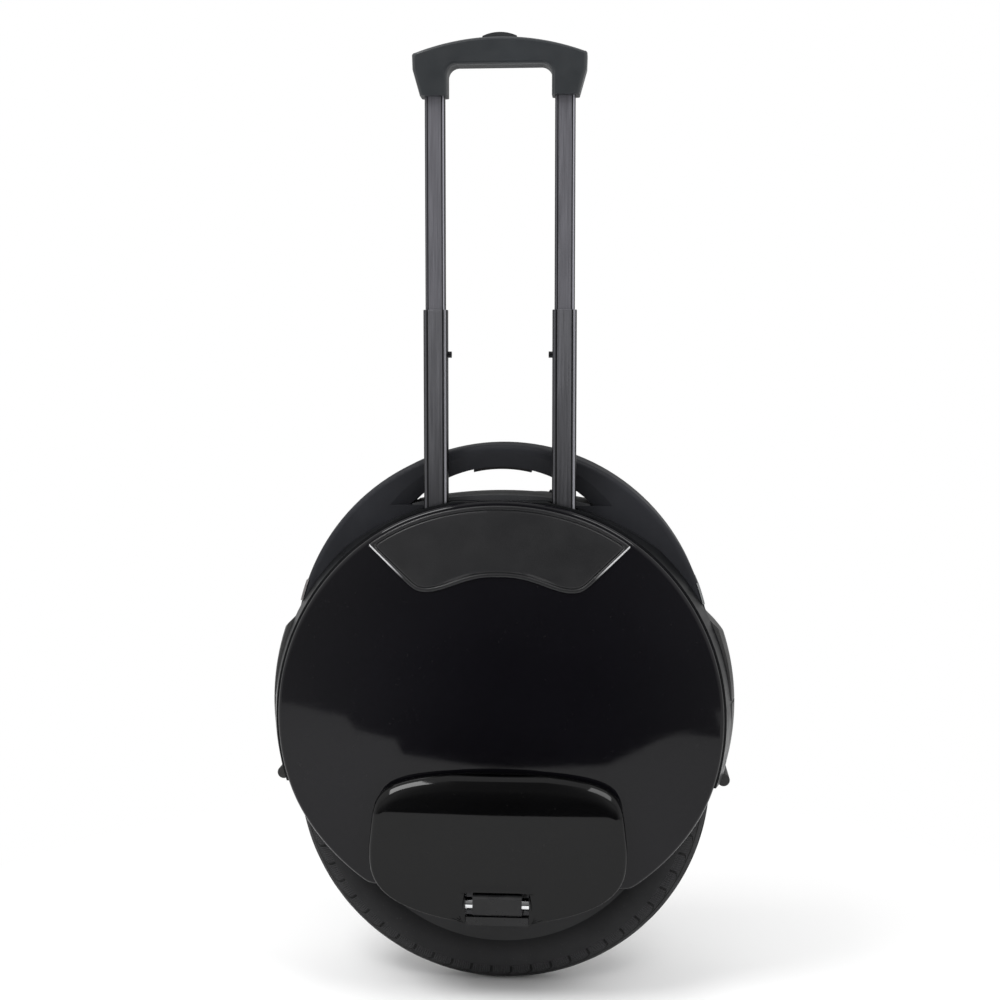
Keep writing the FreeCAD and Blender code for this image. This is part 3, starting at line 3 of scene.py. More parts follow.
import bmesh
import bpy
import numpy as np
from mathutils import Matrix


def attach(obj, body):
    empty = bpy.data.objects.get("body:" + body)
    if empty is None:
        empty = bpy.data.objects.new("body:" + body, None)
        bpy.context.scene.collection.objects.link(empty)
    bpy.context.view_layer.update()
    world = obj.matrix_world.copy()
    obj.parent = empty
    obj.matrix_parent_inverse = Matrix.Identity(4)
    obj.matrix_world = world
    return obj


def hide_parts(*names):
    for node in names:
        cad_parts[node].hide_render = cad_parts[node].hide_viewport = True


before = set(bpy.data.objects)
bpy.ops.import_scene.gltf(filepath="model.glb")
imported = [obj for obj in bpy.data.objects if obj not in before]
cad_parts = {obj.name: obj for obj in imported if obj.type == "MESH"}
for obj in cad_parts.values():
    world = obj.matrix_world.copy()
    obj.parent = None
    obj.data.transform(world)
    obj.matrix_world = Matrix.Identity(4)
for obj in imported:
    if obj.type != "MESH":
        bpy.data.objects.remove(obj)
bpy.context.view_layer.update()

# Tyre: a black rubber road tyre of 16 by 2.125 inches, moulded with three grooves, a cut round
# each shoulder with hooked cuts from it, and a fine hatch between the hooks. It is pressed
# onto the rim by the air in its inner tube, which fills through an angled valve.
axle_height = 0.204
tyre_section = 0.027
tyre_middle = axle_height - tyre_section
bead_angle = math.radians(137)
crown_bend = 0.6
tyre_wall = 0.0044
tread_grooves = (-0.009, 0.0, 0.009)
groove_depth, groove_width, groove_sway = 0.0022, 0.0011, 0.0012
tread_pitches = 60
tread_pitch = 0.021
hatch_ribs = 540
shoulder_from, shoulder_to = 0.77, 1.25
shoulder_fade_in, shoulder_fade_out = 0.02, 0.03
hatch_from, hatch_full = 0.84, 0.9
hook_half, hook_fade = 0.0008, 0.0014
ring_half, ring_fade = 0.0007, 0.0012
hook_sweep = 0.56
tyre_steps, wall_steps, crown_steps = 480, 24, 61


def grid_faces(count_u, count_v, close_u=False, close_v=False, start=0):
    """Quads between neighbouring rows u and columns v of a grid, carried across a closed side."""
    u = np.arange(count_u if close_u else count_u - 1)[:, None]
    v = np.arange(count_v if close_v else count_v - 1)[None, :]

    def corner(a, b):
        return (a % count_u) * count_v + b % count_v + start

    quads = np.stack([corner(u, v), corner(u + 1, v), corner(u + 1, v + 1), corner(u, v + 1)], axis=-1)
    return quads.reshape(-1, 4)


def shaped_piece(name, points, faces, body, slot, material, *nodes, crease=35):
    """A mesh piece of points and faces, welded, turned outward and smooth up to the crease angle."""
    mesh = bpy.data.meshes.new(name)
    mesh.from_pydata(np.asarray(points).reshape(-1, 3), [], [list(face) for face in faces])
    work = bmesh.new()
    work.from_mesh(mesh)
    bmesh.ops.remove_doubles(work, verts=work.verts, dist=1e-6)
    bmesh.ops.dissolve_degenerate(work, edges=work.edges, dist=1e-7)
    bmesh.ops.recalc_face_normals(work, faces=work.faces)
    work.to_mesh(mesh)
    work.free()
    mesh.shade_smooth()
    mesh.set_sharp_from_angle(angle=math.radians(crease))
    mesh.materials.append(material)
    piece = bpy.data.objects.new(name, mesh)
    bpy.context.scene.collection.objects.link(piece)
    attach(piece, body)
    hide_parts(*nodes)
    return piece


def bell(distance, width):
    """A smooth bump of height 1 at distance 0 that fades out over the width."""
    return np.exp(-(distance / width) ** 2)


def tyre_surface():
    """The section's circle carried round the axle, sunk by the tread's three grooves, with an inner wall."""
    turn = np.linspace(0, 2 * np.pi, tyre_steps, endpoint=False)[:, None]
    bend = np.concatenate([
        np.linspace(-bead_angle, -crown_bend, wall_steps, endpoint=False),
        np.linspace(-crown_bend, crown_bend, crown_steps),
        np.linspace(bead_angle, crown_bend, wall_steps, endpoint=False)[::-1],
    ])[None, :]
    sink = 0 * turn * bend
    sway = groove_sway * np.sin(tread_pitches / 2 * turn)
    for groove in tread_grooves:
        sink = sink + groove_depth * bell(tyre_section * np.sin(bend) - groove - sway, groove_width)
    inner_bend = np.linspace(bead_angle, -bead_angle, wall_steps)[None, :] + 0 * turn
    bends = np.concatenate([bend + 0 * turn, inner_bend], axis=1)
    sections = np.concatenate([tyre_section - sink, tyre_section - tyre_wall + 0 * inner_bend], axis=1)
    radius = tyre_middle + sections * np.cos(bends)
    height = axle_height + radius * np.sin(turn)
    points = np.stack([radius * np.cos(turn), sections * np.sin(bends), height], axis=-1)
    return points, grid_faces(*points.shape[:2], True, True)


def material_named(name):
    """An empty node material, with its tree, shader and object coordinates."""
    material = bpy.data.materials.new(name)
    material.use_nodes = True
    tree = material.node_tree
    shader = tree.nodes["Principled BSDF"]
    place = tree.nodes.new("ShaderNodeTexCoord").outputs["Object"]
    return material, tree, shader, place


def joined(tree, source, socket):
    """Links an output to an input."""
    tree.links.new(source, socket)


def worked(tree, operation, *values):
    """The result of a sum on outputs and plain numbers."""
    node = tree.nodes.new("ShaderNodeMath")
    node.operation = operation
    for socket, value in zip(node.inputs, values):
        if isinstance(value, (int, float)):
            socket.default_value = value
        else:
            joined(tree, value, socket)
    return node.outputs[0]


def parted(tree, place):
    """The three coordinates of a place."""
    node = tree.nodes.new("ShaderNodeSeparateXYZ")
    joined(tree, place, node.inputs[0])
    return node.outputs["X"], node.outputs["Y"], node.outputs["Z"]


def noise(tree, place, scale, detail=3.0, stretch=(1, 1, 1), roughness=0.5):
    """Cloudy noise on object coordinates, stretched along an axis, as an output from 0 to 1."""
    mapping = tree.nodes.new("ShaderNodeMapping")
    mapping.inputs["Scale"].default_value = stretch
    joined(tree, place, mapping.inputs["Vector"])
    texture = tree.nodes.new("ShaderNodeTexNoise")
    texture.inputs["Scale"].default_value = scale
    texture.inputs["Detail"].default_value = detail
    texture.inputs["Roughness"].default_value = roughness
    joined(tree, mapping.outputs["Vector"], texture.inputs["Vector"])
    return texture.outputs["Fac"]


def ranged(tree, value, low, high, to_low, to_high):
    """A value carried from one range into another, held at its ends."""
    node = tree.nodes.new("ShaderNodeMapRange")
    for name, number in (("From Min", low), ("From Max", high), ("To Min", to_low), ("To Max", to_high)):
        node.inputs[name].default_value = number
    joined(tree, value, node.inputs["Value"])
    return node.outputs["Result"]


def blended(tree, factor, colour_a, colour_b):
    """A colour between two by a factor; each may be a number triple or an output."""
    node = tree.nodes.new("ShaderNodeMix")
    node.data_type = "RGBA"
    joined(tree, factor, node.inputs["Factor"])
    for socket, colour in ((node.inputs[6], colour_a), (node.inputs[7], colour_b)):
        if isinstance(colour, tuple):
            socket.default_value = (*colour, 1)
        else:
            joined(tree, colour, socket)
    return node.outputs[2]


def bumped(tree, shader, height, distance, strength=1.0, under=None):
    """A bump of this height in metres on the shader, over another bump where one is given."""
    node = tree.nodes.new("ShaderNodeBump")
    node.inputs["Strength"].default_value = strength
    node.inputs["Distance"].default_value = distance
    joined(tree, height, node.inputs["Height"])
    if under is not None:
        joined(tree, under, node.inputs["Normal"])
    joined(tree, node.outputs["Normal"], shader.inputs["Normal"])
    return node.outputs["Normal"]


def shaded(colour, factor):
    """The colour made lighter or darker by a factor."""
    return tuple(channel * factor for channel in colour)


dust_tone = (0.30, 0.29, 0.27)


def moulded(name, colour, roughness, grain=900, depth=0.00008, spread=0.06, specular=0.5, dust=0.0):
    """Moulded plastic or rubber: cloudy tone, uneven sheen, a fine spark-eroded grain and a little dust."""
    material, tree, shader, place = material_named(name)
    clouds = noise(tree, place, 14, 4)
    tone = blended(tree, ranged(tree, clouds, 0.3, 0.7, 0, 1), shaded(colour, 0.8), shaded(colour, 1.22))
    if dust:
        specks = ranged(tree, noise(tree, place, 260, 2), 0.66, 0.74, 0, dust)
        tone = blended(tree, specks, tone, dust_tone)
    joined(tree, tone, shader.inputs["Base Color"])
    sheen = noise(tree, place, 55, 5)
    low, high = max(0.02, roughness - spread), min(1, roughness + spread)
    joined(tree, ranged(tree, sheen, 0.3, 0.7, low, high), shader.inputs["Roughness"])
    shader.inputs["Specular IOR Level"].default_value = specular
    bumped(tree, shader, noise(tree, place, grain, 2), depth, 0.6)
    return material


def finish_nodes(material, *names):
    """Gives carried-over pieces of the frame their material."""
    for name in names:
        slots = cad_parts[name].data.materials
        slots.clear()
        slots.append(material)


def tread_rubber(name, colour):
    """Matt tyre rubber: shoulder cuts and hatch from the turn and bend of each point, with painted shade in the
    cuts, a painted highlight on the hatch ribs and a little dust.
    """
    material, tree, shader, place = material_named(name)
    x, y, z = parted(tree, place)
    up = worked(tree, "SUBTRACT", z, axle_height)
    turn = worked(tree, "ARCTAN2", up, x)
    reach = worked(tree, "SQRT", worked(tree, "MULTIPLY_ADD", x, x, worked(tree, "MULTIPLY", up, up)))
    side = worked(tree, "ARCTAN2", worked(tree, "ABSOLUTE", y), worked(tree, "SUBTRACT", reach, tyre_middle))
    inward = ranged(tree, side, shoulder_from, shoulder_to, 1, 0)
    hook = worked(tree, "POWER", inward, 5)
    swept = worked(tree, "MULTIPLY", hook, hook_sweep)
    pitch = worked(tree, "MULTIPLY_ADD", turn, tread_pitches / (2 * math.pi), swept)
    far_side = worked(tree, "GREATER_THAN", y, 0)
    phase = worked(tree, "FRACT", worked(tree, "MULTIPLY_ADD", far_side, 0.5, pitch))
    off_hook = worked(tree, "ABSOLUTE", worked(tree, "SUBTRACT", phase, 0.5))
    hook_cut = ranged(tree, off_hook, hook_half / tread_pitch, hook_fade / tread_pitch, 1, 0)
    zone = worked(tree, "MULTIPLY", ranged(tree, side, shoulder_from - shoulder_fade_in, shoulder_from, 0, 1),
                  ranged(tree, side, shoulder_to, shoulder_to + shoulder_fade_out, 1, 0))
    off_ring = worked(tree, "ABSOLUTE", worked(tree, "SUBTRACT", side, shoulder_from))
    ring_cut = ranged(tree, off_ring, ring_half / tyre_section, ring_fade / tyre_section, 1, 0)
    cut = worked(tree, "MAXIMUM", worked(tree, "MULTIPLY", hook_cut, zone), ring_cut)
    wave = worked(tree, "SINE", worked(tree, "MULTIPLY", turn, hatch_ribs))
    ribs = worked(tree, "MULTIPLY_ADD", wave, 0.5, 0.5)
    hatched = worked(tree, "MULTIPLY", zone, ranged(tree, side, hatch_from, hatch_full, 0, 1))
    ribbed = worked(tree, "MULTIPLY", ribs, hatched)
    depth = worked(tree, "MULTIPLY_ADD", ribbed, 0.6, worked(tree, "MULTIPLY", cut, 1.6))
    clouds = noise(tree, place, 14, 4)
    tone = blended(tree, ranged(tree, clouds, 0.3, 0.7, 0, 1), shaded(colour, 0.85), shaded(colour, 1.18))
    specks = ranged(tree, noise(tree, place, 620, 2), 0.70, 0.76, 0, 0.08)
    tone = blended(tree, specks, tone, dust_tone)
    # Painted highlight: the hatch ribs are painted lighter than the rubber.
    tone = blended(tree, worked(tree, "MULTIPLY", ribbed, 0.5), tone, shaded(colour, 2.2))
    # Painted shade: the cuts are painted near black.
    joined(tree, blended(tree, cut, tone, shaded(colour, 0.08)), shader.inputs["Base Color"])
    joined(tree, ranged(tree, noise(tree, place, 55, 5), 0.3, 0.7, 0.62, 0.8), shader.inputs["Roughness"])
    shader.inputs["Specular IOR Level"].default_value = 0.22
    grain = bumped(tree, shader, noise(tree, place, 800, 2), 0.0001, 0.6)
    bumped(tree, shader, worked(tree, "MULTIPLY", depth, -1), 0.001, 1.0, grain)
    return material


tyre_rubber = tread_rubber("tyre_rubber", (0.015, 0.015, 0.016))
shaped_piece("tyre_tread", *tyre_surface(), "wheel", "tyre_rubber", tyre_rubber, "tyre", crease=60)
finish_nodes(
    moulded("tube_rubber", (0.014, 0.014, 0.015), roughness=0.62, grain=500),
    "inner_tube", "valve_stem",
)

# Wheel hub: a black painted alloy rim that is also the shell of the motor's rotor, with magnets glued
# round its inside, two machined covers with their screws, and a ball bearing on each side.
def metal(name, colour, roughness, scale=120, stretch=(1, 1, 1), depth=0.00002, spread=0.08):
    """Bare or plated metal: toned clouds, and tool marks stretched along one axis in its sheen and bump."""
    material, tree, shader, place = material_named(name)
    marks = noise(tree, place, scale, 4, stretch)
    clouds = noise(tree, place, 9, 3)
    tone = blended(tree, ranged(tree, clouds, 0.3, 0.7, 0, 1), shaded(colour, 0.86), shaded(colour, 1.1))
    joined(tree, tone, shader.inputs["Base Color"])
    low, high = max(0.03, roughness - spread), roughness + spread
    joined(tree, ranged(tree, marks, 0.3, 0.7, low, high), shader.inputs["Roughness"])
    shader.inputs["Metallic"].default_value = 1.0
    bumped(tree, shader, marks, depth, 0.5)
    return material


bright_steel = metal("bright_steel", (0.56, 0.56, 0.57), roughness=0.25, scale=90, stretch=(1, 6, 1))
finish_nodes(
    moulded("rim_paint", (0.016, 0.016, 0.017), roughness=0.5, grain=500, depth=0.00006, specular=0.25),
    "rim",
)
finish_nodes(
    metal("cover_alloy", (0.05, 0.05, 0.052), roughness=0.45, scale=70, stretch=(1, 9, 1)),
    "motor_cover_near", "motor_cover_far",
)
finish_nodes(metal("magnet_plating", (0.38, 0.38, 0.40), roughness=0.34, scale=200), "rotor_magnets")
finish_nodes(bright_steel, "motor_cover_screws", "bearing_outer_races", "bearing_inner_races", "bearing_balls")

# Axle and stator: a forged steel axle with flats and nuts carries a cast spider, the stack of
# stamped laminations on it and the copper coils. Their cable leaves through the axle's end.
finish_nodes(
    metal("forged_steel", (0.32, 0.32, 0.33), roughness=0.38, scale=130),
    "axle", "axle_nuts", "hanger_bolts",
)
finish_nodes(metal("cast_alloy", (0.45, 0.45, 0.46), roughness=0.5, scale=300), "stator_carrier")
finish_nodes(
    metal("laminations", (0.24, 0.24, 0.25), roughness=0.45, scale=160, stretch=(1, 40, 1)),
    "stator_core",
)
finish_nodes(
    metal("coil_copper", (0.62, 0.25, 0.10), roughness=0.32, scale=400, stretch=(1, 1, 6)),
    "stator_windings",
)
finish_nodes(
    moulded("cable_jacket", (0.018, 0.018, 0.019), roughness=0.5, grain=400, depth=0.00006),
    "motor_cable",
)

# Pedal hangers: plates of cast alloy on the axle's flats, bolted through the pods, each with
# the hinge knuckle of a pedal at its foot. A chromed pin runs through the knuckle.
finish_nodes(
    moulded("hanger_paint", (0.008, 0.008, 0.0085), roughness=0.3, grain=420, depth=0.0001,
            spread=0.08, specular=0.3),
    "hanger_near", "hanger_far",
)
finish_nodes(
    metal("pin_chrome", (0.78, 0.79, 0.80), roughness=0.12, scale=60, stretch=(8, 1, 1),
          depth=0.00001, spread=0.05),
    "hinge_pins",
)

# Fender arch: two moulded halves in matt charcoal that meet over the wheel and leave the
# hand window under the carry handle. A grey deck strip closes the window's floor.
finish_nodes(
    moulded("arch_plastic", (0.0165, 0.0172, 0.0205), roughness=0.5, grain=1100, depth=0.00006,
            spread=0.08, specular=0.14),
    "fender_near", "fender_far",
)
finish_nodes(
    moulded("deck_plastic", (0.040, 0.041, 0.044), roughness=0.42, grain=800, depth=0.00006, specular=0.3),
    "deck_strip",
)
finish_nodes(moulded("button_plastic", (0.016, 0.016, 0.017), roughness=0.4, depth=0.00005), "lift_button")

# Bumpers: thick moulded guards with a crown across them that close the body's ends, with a
# rubber plug in the lower end of each. A frosted light lens is let into the arch above.
finish_nodes(
    moulded("bumper_plastic", (0.042, 0.042, 0.042), roughness=0.5, grain=700, spread=0.08, specular=0.2),
    "bumper_front", "bumper_rear",
)
finish_nodes(moulded("plug_rubber", (0.012, 0.012, 0.012), roughness=0.6, grain=500), "bumper_plugs")


def frosted_lens(name, tint, roughness):
    """Frosted clear plastic with upright prism ribs moulded inside it and a faintly cloudy body."""
    material, tree, shader, place = material_named(name)
    ribs = noise(tree, place, 60, 1, (1, 14, 1))
    tone = blended(tree, ranged(tree, ribs, 0.3, 0.7, 0, 1), shaded(tint, 0.92), tint)
    joined(tree, tone, shader.inputs["Base Color"])
    joined(tree, ranged(tree, ribs, 0.3, 0.7, roughness - 0.06, roughness + 0.06), shader.inputs["Roughness"])
    shader.inputs["Transmission Weight"].default_value = 0.3
    shader.inputs["IOR"].default_value = 1.49
    bumped(tree, shader, ribs, 0.0006, 0.5)
    return material


finish_nodes(frosted_lens("head_lens", (0.30, 0.31, 0.31), roughness=0.3), "headlight_lens")
finish_nodes(frosted_lens("tail_lens", (0.29, 0.27, 0.27), roughness=0.3), "tail_light_lens")

# Pods: moulded boxes bolted to both sides of the fender. Their sloping rims show round the
# covers; batteries, controller and cable are inside.
finish_nodes(
    moulded("pod_plastic", (0.0070, 0.0074, 0.0082), roughness=0.34, depth=0.00005, spread=0.07, specular=0.12),
    "pod_near", "pod_far",
)
finish_nodes(
    moulded("battery_wrap", (0.045, 0.075, 0.150), roughness=0.4, grain=300, depth=0.0001),
    "battery_near", "batteries_far",
)
finish_nodes(
    metal("heat_sink_alloy", (0.5, 0.5, 0.52), roughness=0.4, scale=80, stretch=(9, 1, 1)),
    "heat_sink",
)
finish_nodes(
    moulded("board_laminate", (0.020, 0.090, 0.042), roughness=0.45, grain=250, depth=0.0001),
    "control_board", "light_boards",
)
finish_nodes(
    metal("can_alloy", (0.55, 0.55, 0.56), roughness=0.36, scale=90, stretch=(1, 1, 9)),
    "board_capacitors",
)

# Side covers: large shallow domes of high-gloss black plastic that clip onto the pods. Their round
# edge is a little flatter at the top and the foot, and turns down to the pod in a tight roll.
pod_front = 0.054
cover_centre, cover_radius = 0.273, 0.214
cover_top_centre, cover_top_radius = 0.23405, 0.24995
cover_foot_centre, cover_foot_radius = 0.294, 0.22299
cover_foot = 0.110
cover_crown = 0.067
cover_shoulder = 0.0595
cover_roll = 0.004
cover_wall = 0.0025
cover_soft = 0.0012
cover_steps = 480
roll_share = 0.04


def dome_side(radius):
    """How far a cover's ball-shaped face stands from the middle plane at a radius from its centre."""
    reach = cover_radius - cover_roll
    drop = cover_crown - cover_shoulder
    ball = (reach ** 2 + drop ** 2) / (2 * drop)
    return cover_crown - ball + np.sqrt(ball ** 2 - radius ** 2)


def cover_margin(x, z):
    """Distance inward from a cover's edge, with the corners between its arcs and foot rounded."""
    gaps = np.stack([
        cover_radius - np.hypot(x, z - cover_centre),
        cover_top_radius - np.hypot(x, z - cover_top_centre),
        cover_foot_radius - np.hypot(x, z - cover_foot_centre),
        z - cover_foot,
    ])
    return -cover_soft * np.log(np.exp(-gaps / cover_soft).sum(axis=0))


def edge_radius(margin, turn, middle, far):
    """For each direction, the radius at which the margin runs out, found by halving."""
    low, high = 0 * turn, far + 0 * turn
    for _ in range(40):
        radius = (low + high) / 2
        inside = margin(middle[0] + radius * np.cos(turn), middle[1] + radius * np.sin(turn)) > 0
        low, high = np.where(inside, radius, low), np.where(inside, high, radius)
    return low


def rolled(margin, width):
    """A quarter-round rise from 0 at the edge to 1 at this width inward."""
    return np.sqrt(1 - (1 - np.clip(margin / width, 0, 1)) ** 2)


def cover_surface(side):
    """The dome in polar rows from middle to edge, rolled down to the pod, and back along the inner wall."""
    turn = np.linspace(0, 2 * np.pi, cover_steps, endpoint=False)[:, None]
    middle = (0, cover_centre)
    edge = edge_radius(cover_margin, turn, middle, 0.25)
    roll_rows = 1 - roll_share * np.linspace(0, 1, 24)[::-1] ** 1.8
    rows = np.concatenate([np.linspace(0, 1 - roll_share, 26, endpoint=False), roll_rows])[None, :]
    radius = edge * rows
    x, z = radius * np.cos(turn), cover_centre + radius * np.sin(turn)
    margin = np.clip(cover_margin(x, z), 0, None)
    outer = pod_front + (dome_side(radius) - pod_front) * rolled(margin, cover_roll)
    back = rows[:, ::-1][:, ::3]
    inner_radius = (edge - cover_wall) * back
    inner_x, inner_z = inner_radius * np.cos(turn), cover_centre + inner_radius * np.sin(turn)
    inner_margin = np.clip(cover_margin(inner_x, inner_z) - cover_wall, 0, None)
    inner = pod_front + (dome_side(inner_radius) - cover_wall - pod_front) * rolled(inner_margin, cover_roll)
    x, z = np.concatenate([x, inner_x], axis=1), np.concatenate([z, inner_z], axis=1)
    points = np.stack([x, side * np.concatenate([outer, inner], axis=1), z], axis=-1)
    return points, grid_faces(*points.shape[:2], True, False)


def gloss(name, colour, roughness, peel=0.00002, scratch=0.03):
    """High-gloss moulded plastic: faint orange peel, hairline wipe marks and a little settled dust."""
    material, tree, shader, place = material_named(name)
    clouds = noise(tree, place, 6, 3)
    specks = ranged(tree, noise(tree, place, 420, 1), 0.74, 0.8, 0, 0.02)
    tone = blended(tree, ranged(tree, clouds, 0.3, 0.7, 0, 1), shaded(colour, 0.8), shaded(colour, 1.25))
    joined(tree, blended(tree, specks, tone, (0.35, 0.34, 0.32)), shader.inputs["Base Color"])
    wipes = noise(tree, place, 30, 5, (1.2, 1, 7))
    joined(tree, ranged(tree, wipes, 0.45, 0.75, roughness, roughness + scratch), shader.inputs["Roughness"])
    shader.inputs["Specular IOR Level"].default_value = 0.24
    bumped(tree, shader, noise(tree, place, 22, 2), peel, 0.5)
    return material


cover_gloss = gloss("cover_gloss", (0.0036, 0.0034, 0.0046), roughness=0.05)
shaped_piece("cover_shell_near", *cover_surface(-1), "body", "gloss_black", cover_gloss, "side_cover_near")
shaped_piece("cover_shell_far", *cover_surface(1), "body", "gloss_black", cover_gloss, "side_cover_far")

# Leg pads: soft satin pads moulded to the covers' domes, with slanted ends, two lobes below and
# a sunk line round the edge. A rider grips the machine with the legs there.
pad_corner = (0.130, 0.446)
pad_lobe = (0.071, 0.397)
pad_lobe_round = 0.008
pad_crest = 0.412
pad_rim_gap = 0.0045
pad_thickness = 0.0016
pad_crown = 0.0004
pad_welt = 0.0042
welt_depth, welt_width = 0.0011, 0.0007
pad_middle = (0, 0.448)
pad_seat = 0.00005
pad_soft, lower_soft = 0.0012, 0.003
pad_edge = 0.0016
crown_reach = 0.012
pad_steps = 720
# The painted highlight line up the pad's slanted ends: its inset, half width, fade, and the heights over which it
# fades in.
painted_highlight_inset, painted_highlight_half, painted_highlight_fade = 0.0013, 0.0004, 0.0010
painted_highlight_from, painted_highlight_full = 0.410, 0.424
pad_slope = (pad_corner[1] - pad_lobe[1]) / (pad_corner[0] - pad_lobe[0] - pad_lobe_round)


def pad_lower(x):
    """The pad's lower edge over x: a smooth rise from each lobe to the crest, and straight slanted ends."""
    reach = np.abs(x)
    swing = 0.5 - 0.5 * np.cos(np.pi * np.clip(reach / pad_lobe[0], 0, 1) ** 1.25)
    middle = pad_crest + (pad_lobe[1] - pad_crest) * swing
    slant = pad_lobe[1] + pad_slope * (reach - pad_lobe[0] - pad_lobe_round)
    lifts = np.stack([middle, slant]) - pad_lobe[1]
    return lower_soft * np.log(np.exp(lifts / lower_soft).sum(axis=0)) + pad_lobe[1]


def pad_margin(x, z):
    """Distance inward from the pad's edge: below, and along the cover's round rim."""
    step = 1e-5
    tilt = (pad_lower(x + step) - pad_lower(x - step)) / (2 * step)
    below = (z - pad_lower(x)) / np.sqrt(1 + tilt ** 2)
    gaps = np.stack([below, cover_margin(x, z) - pad_rim_gap])
    return -pad_soft * np.log(np.exp(-gaps / pad_soft).sum(axis=0))


def pad_surface(side):
    """The pad's crowned face over the dome in polar rows, with a sunk line round it, and its back on the cover."""
    turn = np.linspace(0, 2 * np.pi, pad_steps, endpoint=False)[:, None]
    edge = edge_radius(pad_margin, turn, pad_middle, 0.2)
    fine = 1 - 0.16 * np.linspace(0, 1, 44)[::-1] ** 1.4
    rows = np.concatenate([np.linspace(0, 0.84, 14, endpoint=False), fine])[None, :]
    x, z = edge * rows * np.cos(turn), pad_middle[1] + edge * rows * np.sin(turn)
    margin = np.clip(pad_margin(x, z), 0, None)
    ground = dome_side(np.hypot(x, z - cover_centre)) + pad_seat
    welt = welt_depth * bell(margin - pad_welt, welt_width)
    swell = pad_crown * (1 - np.exp(-np.clip(margin - pad_welt, 0, None) / crown_reach))
    face = ground + pad_thickness * rolled(margin, pad_edge) - welt + swell
    back = rows[:, ::-1][:, ::4]
    back_x, back_z = edge * back * np.cos(turn), pad_middle[1] + edge * back * np.sin(turn)
    under = dome_side(np.hypot(back_x, back_z - cover_centre)) + pad_seat
    x, z = np.concatenate([x, back_x], axis=1), np.concatenate([z, back_z], axis=1)
    points = np.stack([x, side * np.concatenate([face, under], axis=1), z], axis=-1)
    return points, grid_faces(*points.shape[:2], True, False)


def grained_pad(name, colour, roughness):
    """Soft satin synthetic leather: pebble grain, cloudy tone and a painted highlight, a thin pale line up the
    slanted ends.
    """
    material, tree, shader, place = material_named(name)
    pebbles = tree.nodes.new("ShaderNodeTexVoronoi")
    pebbles.inputs["Scale"].default_value = 900
    joined(tree, place, pebbles.inputs["Vector"])
    clouds = noise(tree, place, 12, 4)
    tone = blended(tree, ranged(tree, clouds, 0.3, 0.7, 0, 1), shaded(colour, 0.85), shaded(colour, 1.2))
    x, _, z = parted(tree, place)
    # Painted highlight: a thin pale line up each slanted end, just inside it, fading in toward the top.
    slant = worked(tree, "MULTIPLY_ADD", worked(tree, "ABSOLUTE", x), -pad_slope, z)
    slant_start = pad_lobe[1] - pad_slope * (pad_lobe[0] + pad_lobe_round)
    inward = worked(tree, "DIVIDE", worked(tree, "SUBTRACT", slant, slant_start), math.hypot(1, pad_slope))
    off_painted_highlight = worked(tree, "ABSOLUTE", worked(tree, "SUBTRACT", inward, painted_highlight_inset))
    painted_highlight = ranged(tree, off_painted_highlight, painted_highlight_half, painted_highlight_fade, 1, 0)
    painted_highlight = worked(tree, "MULTIPLY", painted_highlight, ranged(tree, z, painted_highlight_from, painted_highlight_full, 0, 1))
    joined(tree, blended(tree, painted_highlight, tone, (0.55, 0.55, 0.56)), shader.inputs["Base Color"])
    sheen = noise(tree, place, 40, 4)
    joined(tree, ranged(tree, sheen, 0.3, 0.7, roughness - 0.06, roughness + 0.06), shader.inputs["Roughness"])
    shader.inputs["Specular IOR Level"].default_value = 0.4
    bumped(tree, shader, pebbles.outputs["Distance"], 0.00012, 0.35)
    return material


pad_satin = grained_pad("pad_satin", (0.012, 0.012, 0.013), roughness=0.34)
for label, side in (("near", -1), ("far", 1)):
    pad = shaped_piece("leg_cushion_" + label, *pad_surface(side), "body", "pad", pad_satin, "leg_pad_" + label)

# Pedals: die-cast plates in gloss black, folded up with the underside out. The top edge rolls
# back in a broad curve, the ends bulge, and a notch at the foot clears the hinge knuckle.
pedal_inner = 0.0695
pedal_outer = 0.087
pedal_end = 0.1225
pedal_wide = 0.158
pedal_top = 0.226
pedal_low = 0.082
notch_half = 0.0303
notch_top = 0.1133
pedal_edge = 0.0055
pedal_roll_from = 0.186
top_bend, top_band = 0.018, 0.014
top_fade = 0.024
edge_from, edge_fade = 0.10, 0.06
pedal_lean = 0.006
pedal_belly = 0.0012
back_edge = 0.0015
low_rows = 22


def pedal_half_length(z):
    """How far a pedal reaches along x at a height: widest in the middle, drawn in above and below."""
    up = np.clip((z - pedal_wide) / (pedal_top - pedal_wide), 0, 1)
    down = np.clip((pedal_wide - z) / (pedal_wide - pedal_low), 0, 1)
    upper = pedal_end * (1 - 0.06 * up) * (1 - up ** 6.5) ** 0.5
    lower = pedal_end * (1 - down ** 3.4) ** 0.62
    return np.where(z > pedal_wide, upper, lower)


def nearest_gap(x, z, outline):
    """Distance from each point to a closed line of points."""
    start, run = outline, np.roll(outline, -1, axis=0) - outline
    best = np.full(x.shape, 1.0)
    for (ax, az), (bx, bz) in zip(start, run):
        along = np.clip(((x - ax) * bx + (z - az) * bz) / (bx * bx + bz * bz + 1e-18), 0, 1)
        best = np.minimum(best, np.hypot(x - ax - along * bx, z - az - along * bz))
    return best


def sheet_rim(points, faces):
    """The edges of a welded sheet that only one face uses, as pairs of points in that face's order."""
    _, first, places = np.unique(np.round(points, 7), axis=0, return_index=True, return_inverse=True)
    faces = first[places.reshape(-1)][faces]
    edges = np.stack([faces, np.roll(faces, -1, axis=1)], axis=-1).reshape(-1, 2)
    edges = edges[edges[:, 0] != edges[:, 1]]
    _, group, uses = np.unique(np.sort(edges, axis=1), axis=0, return_inverse=True, return_counts=True)
    return edges[uses[group.reshape(-1)] == 1]


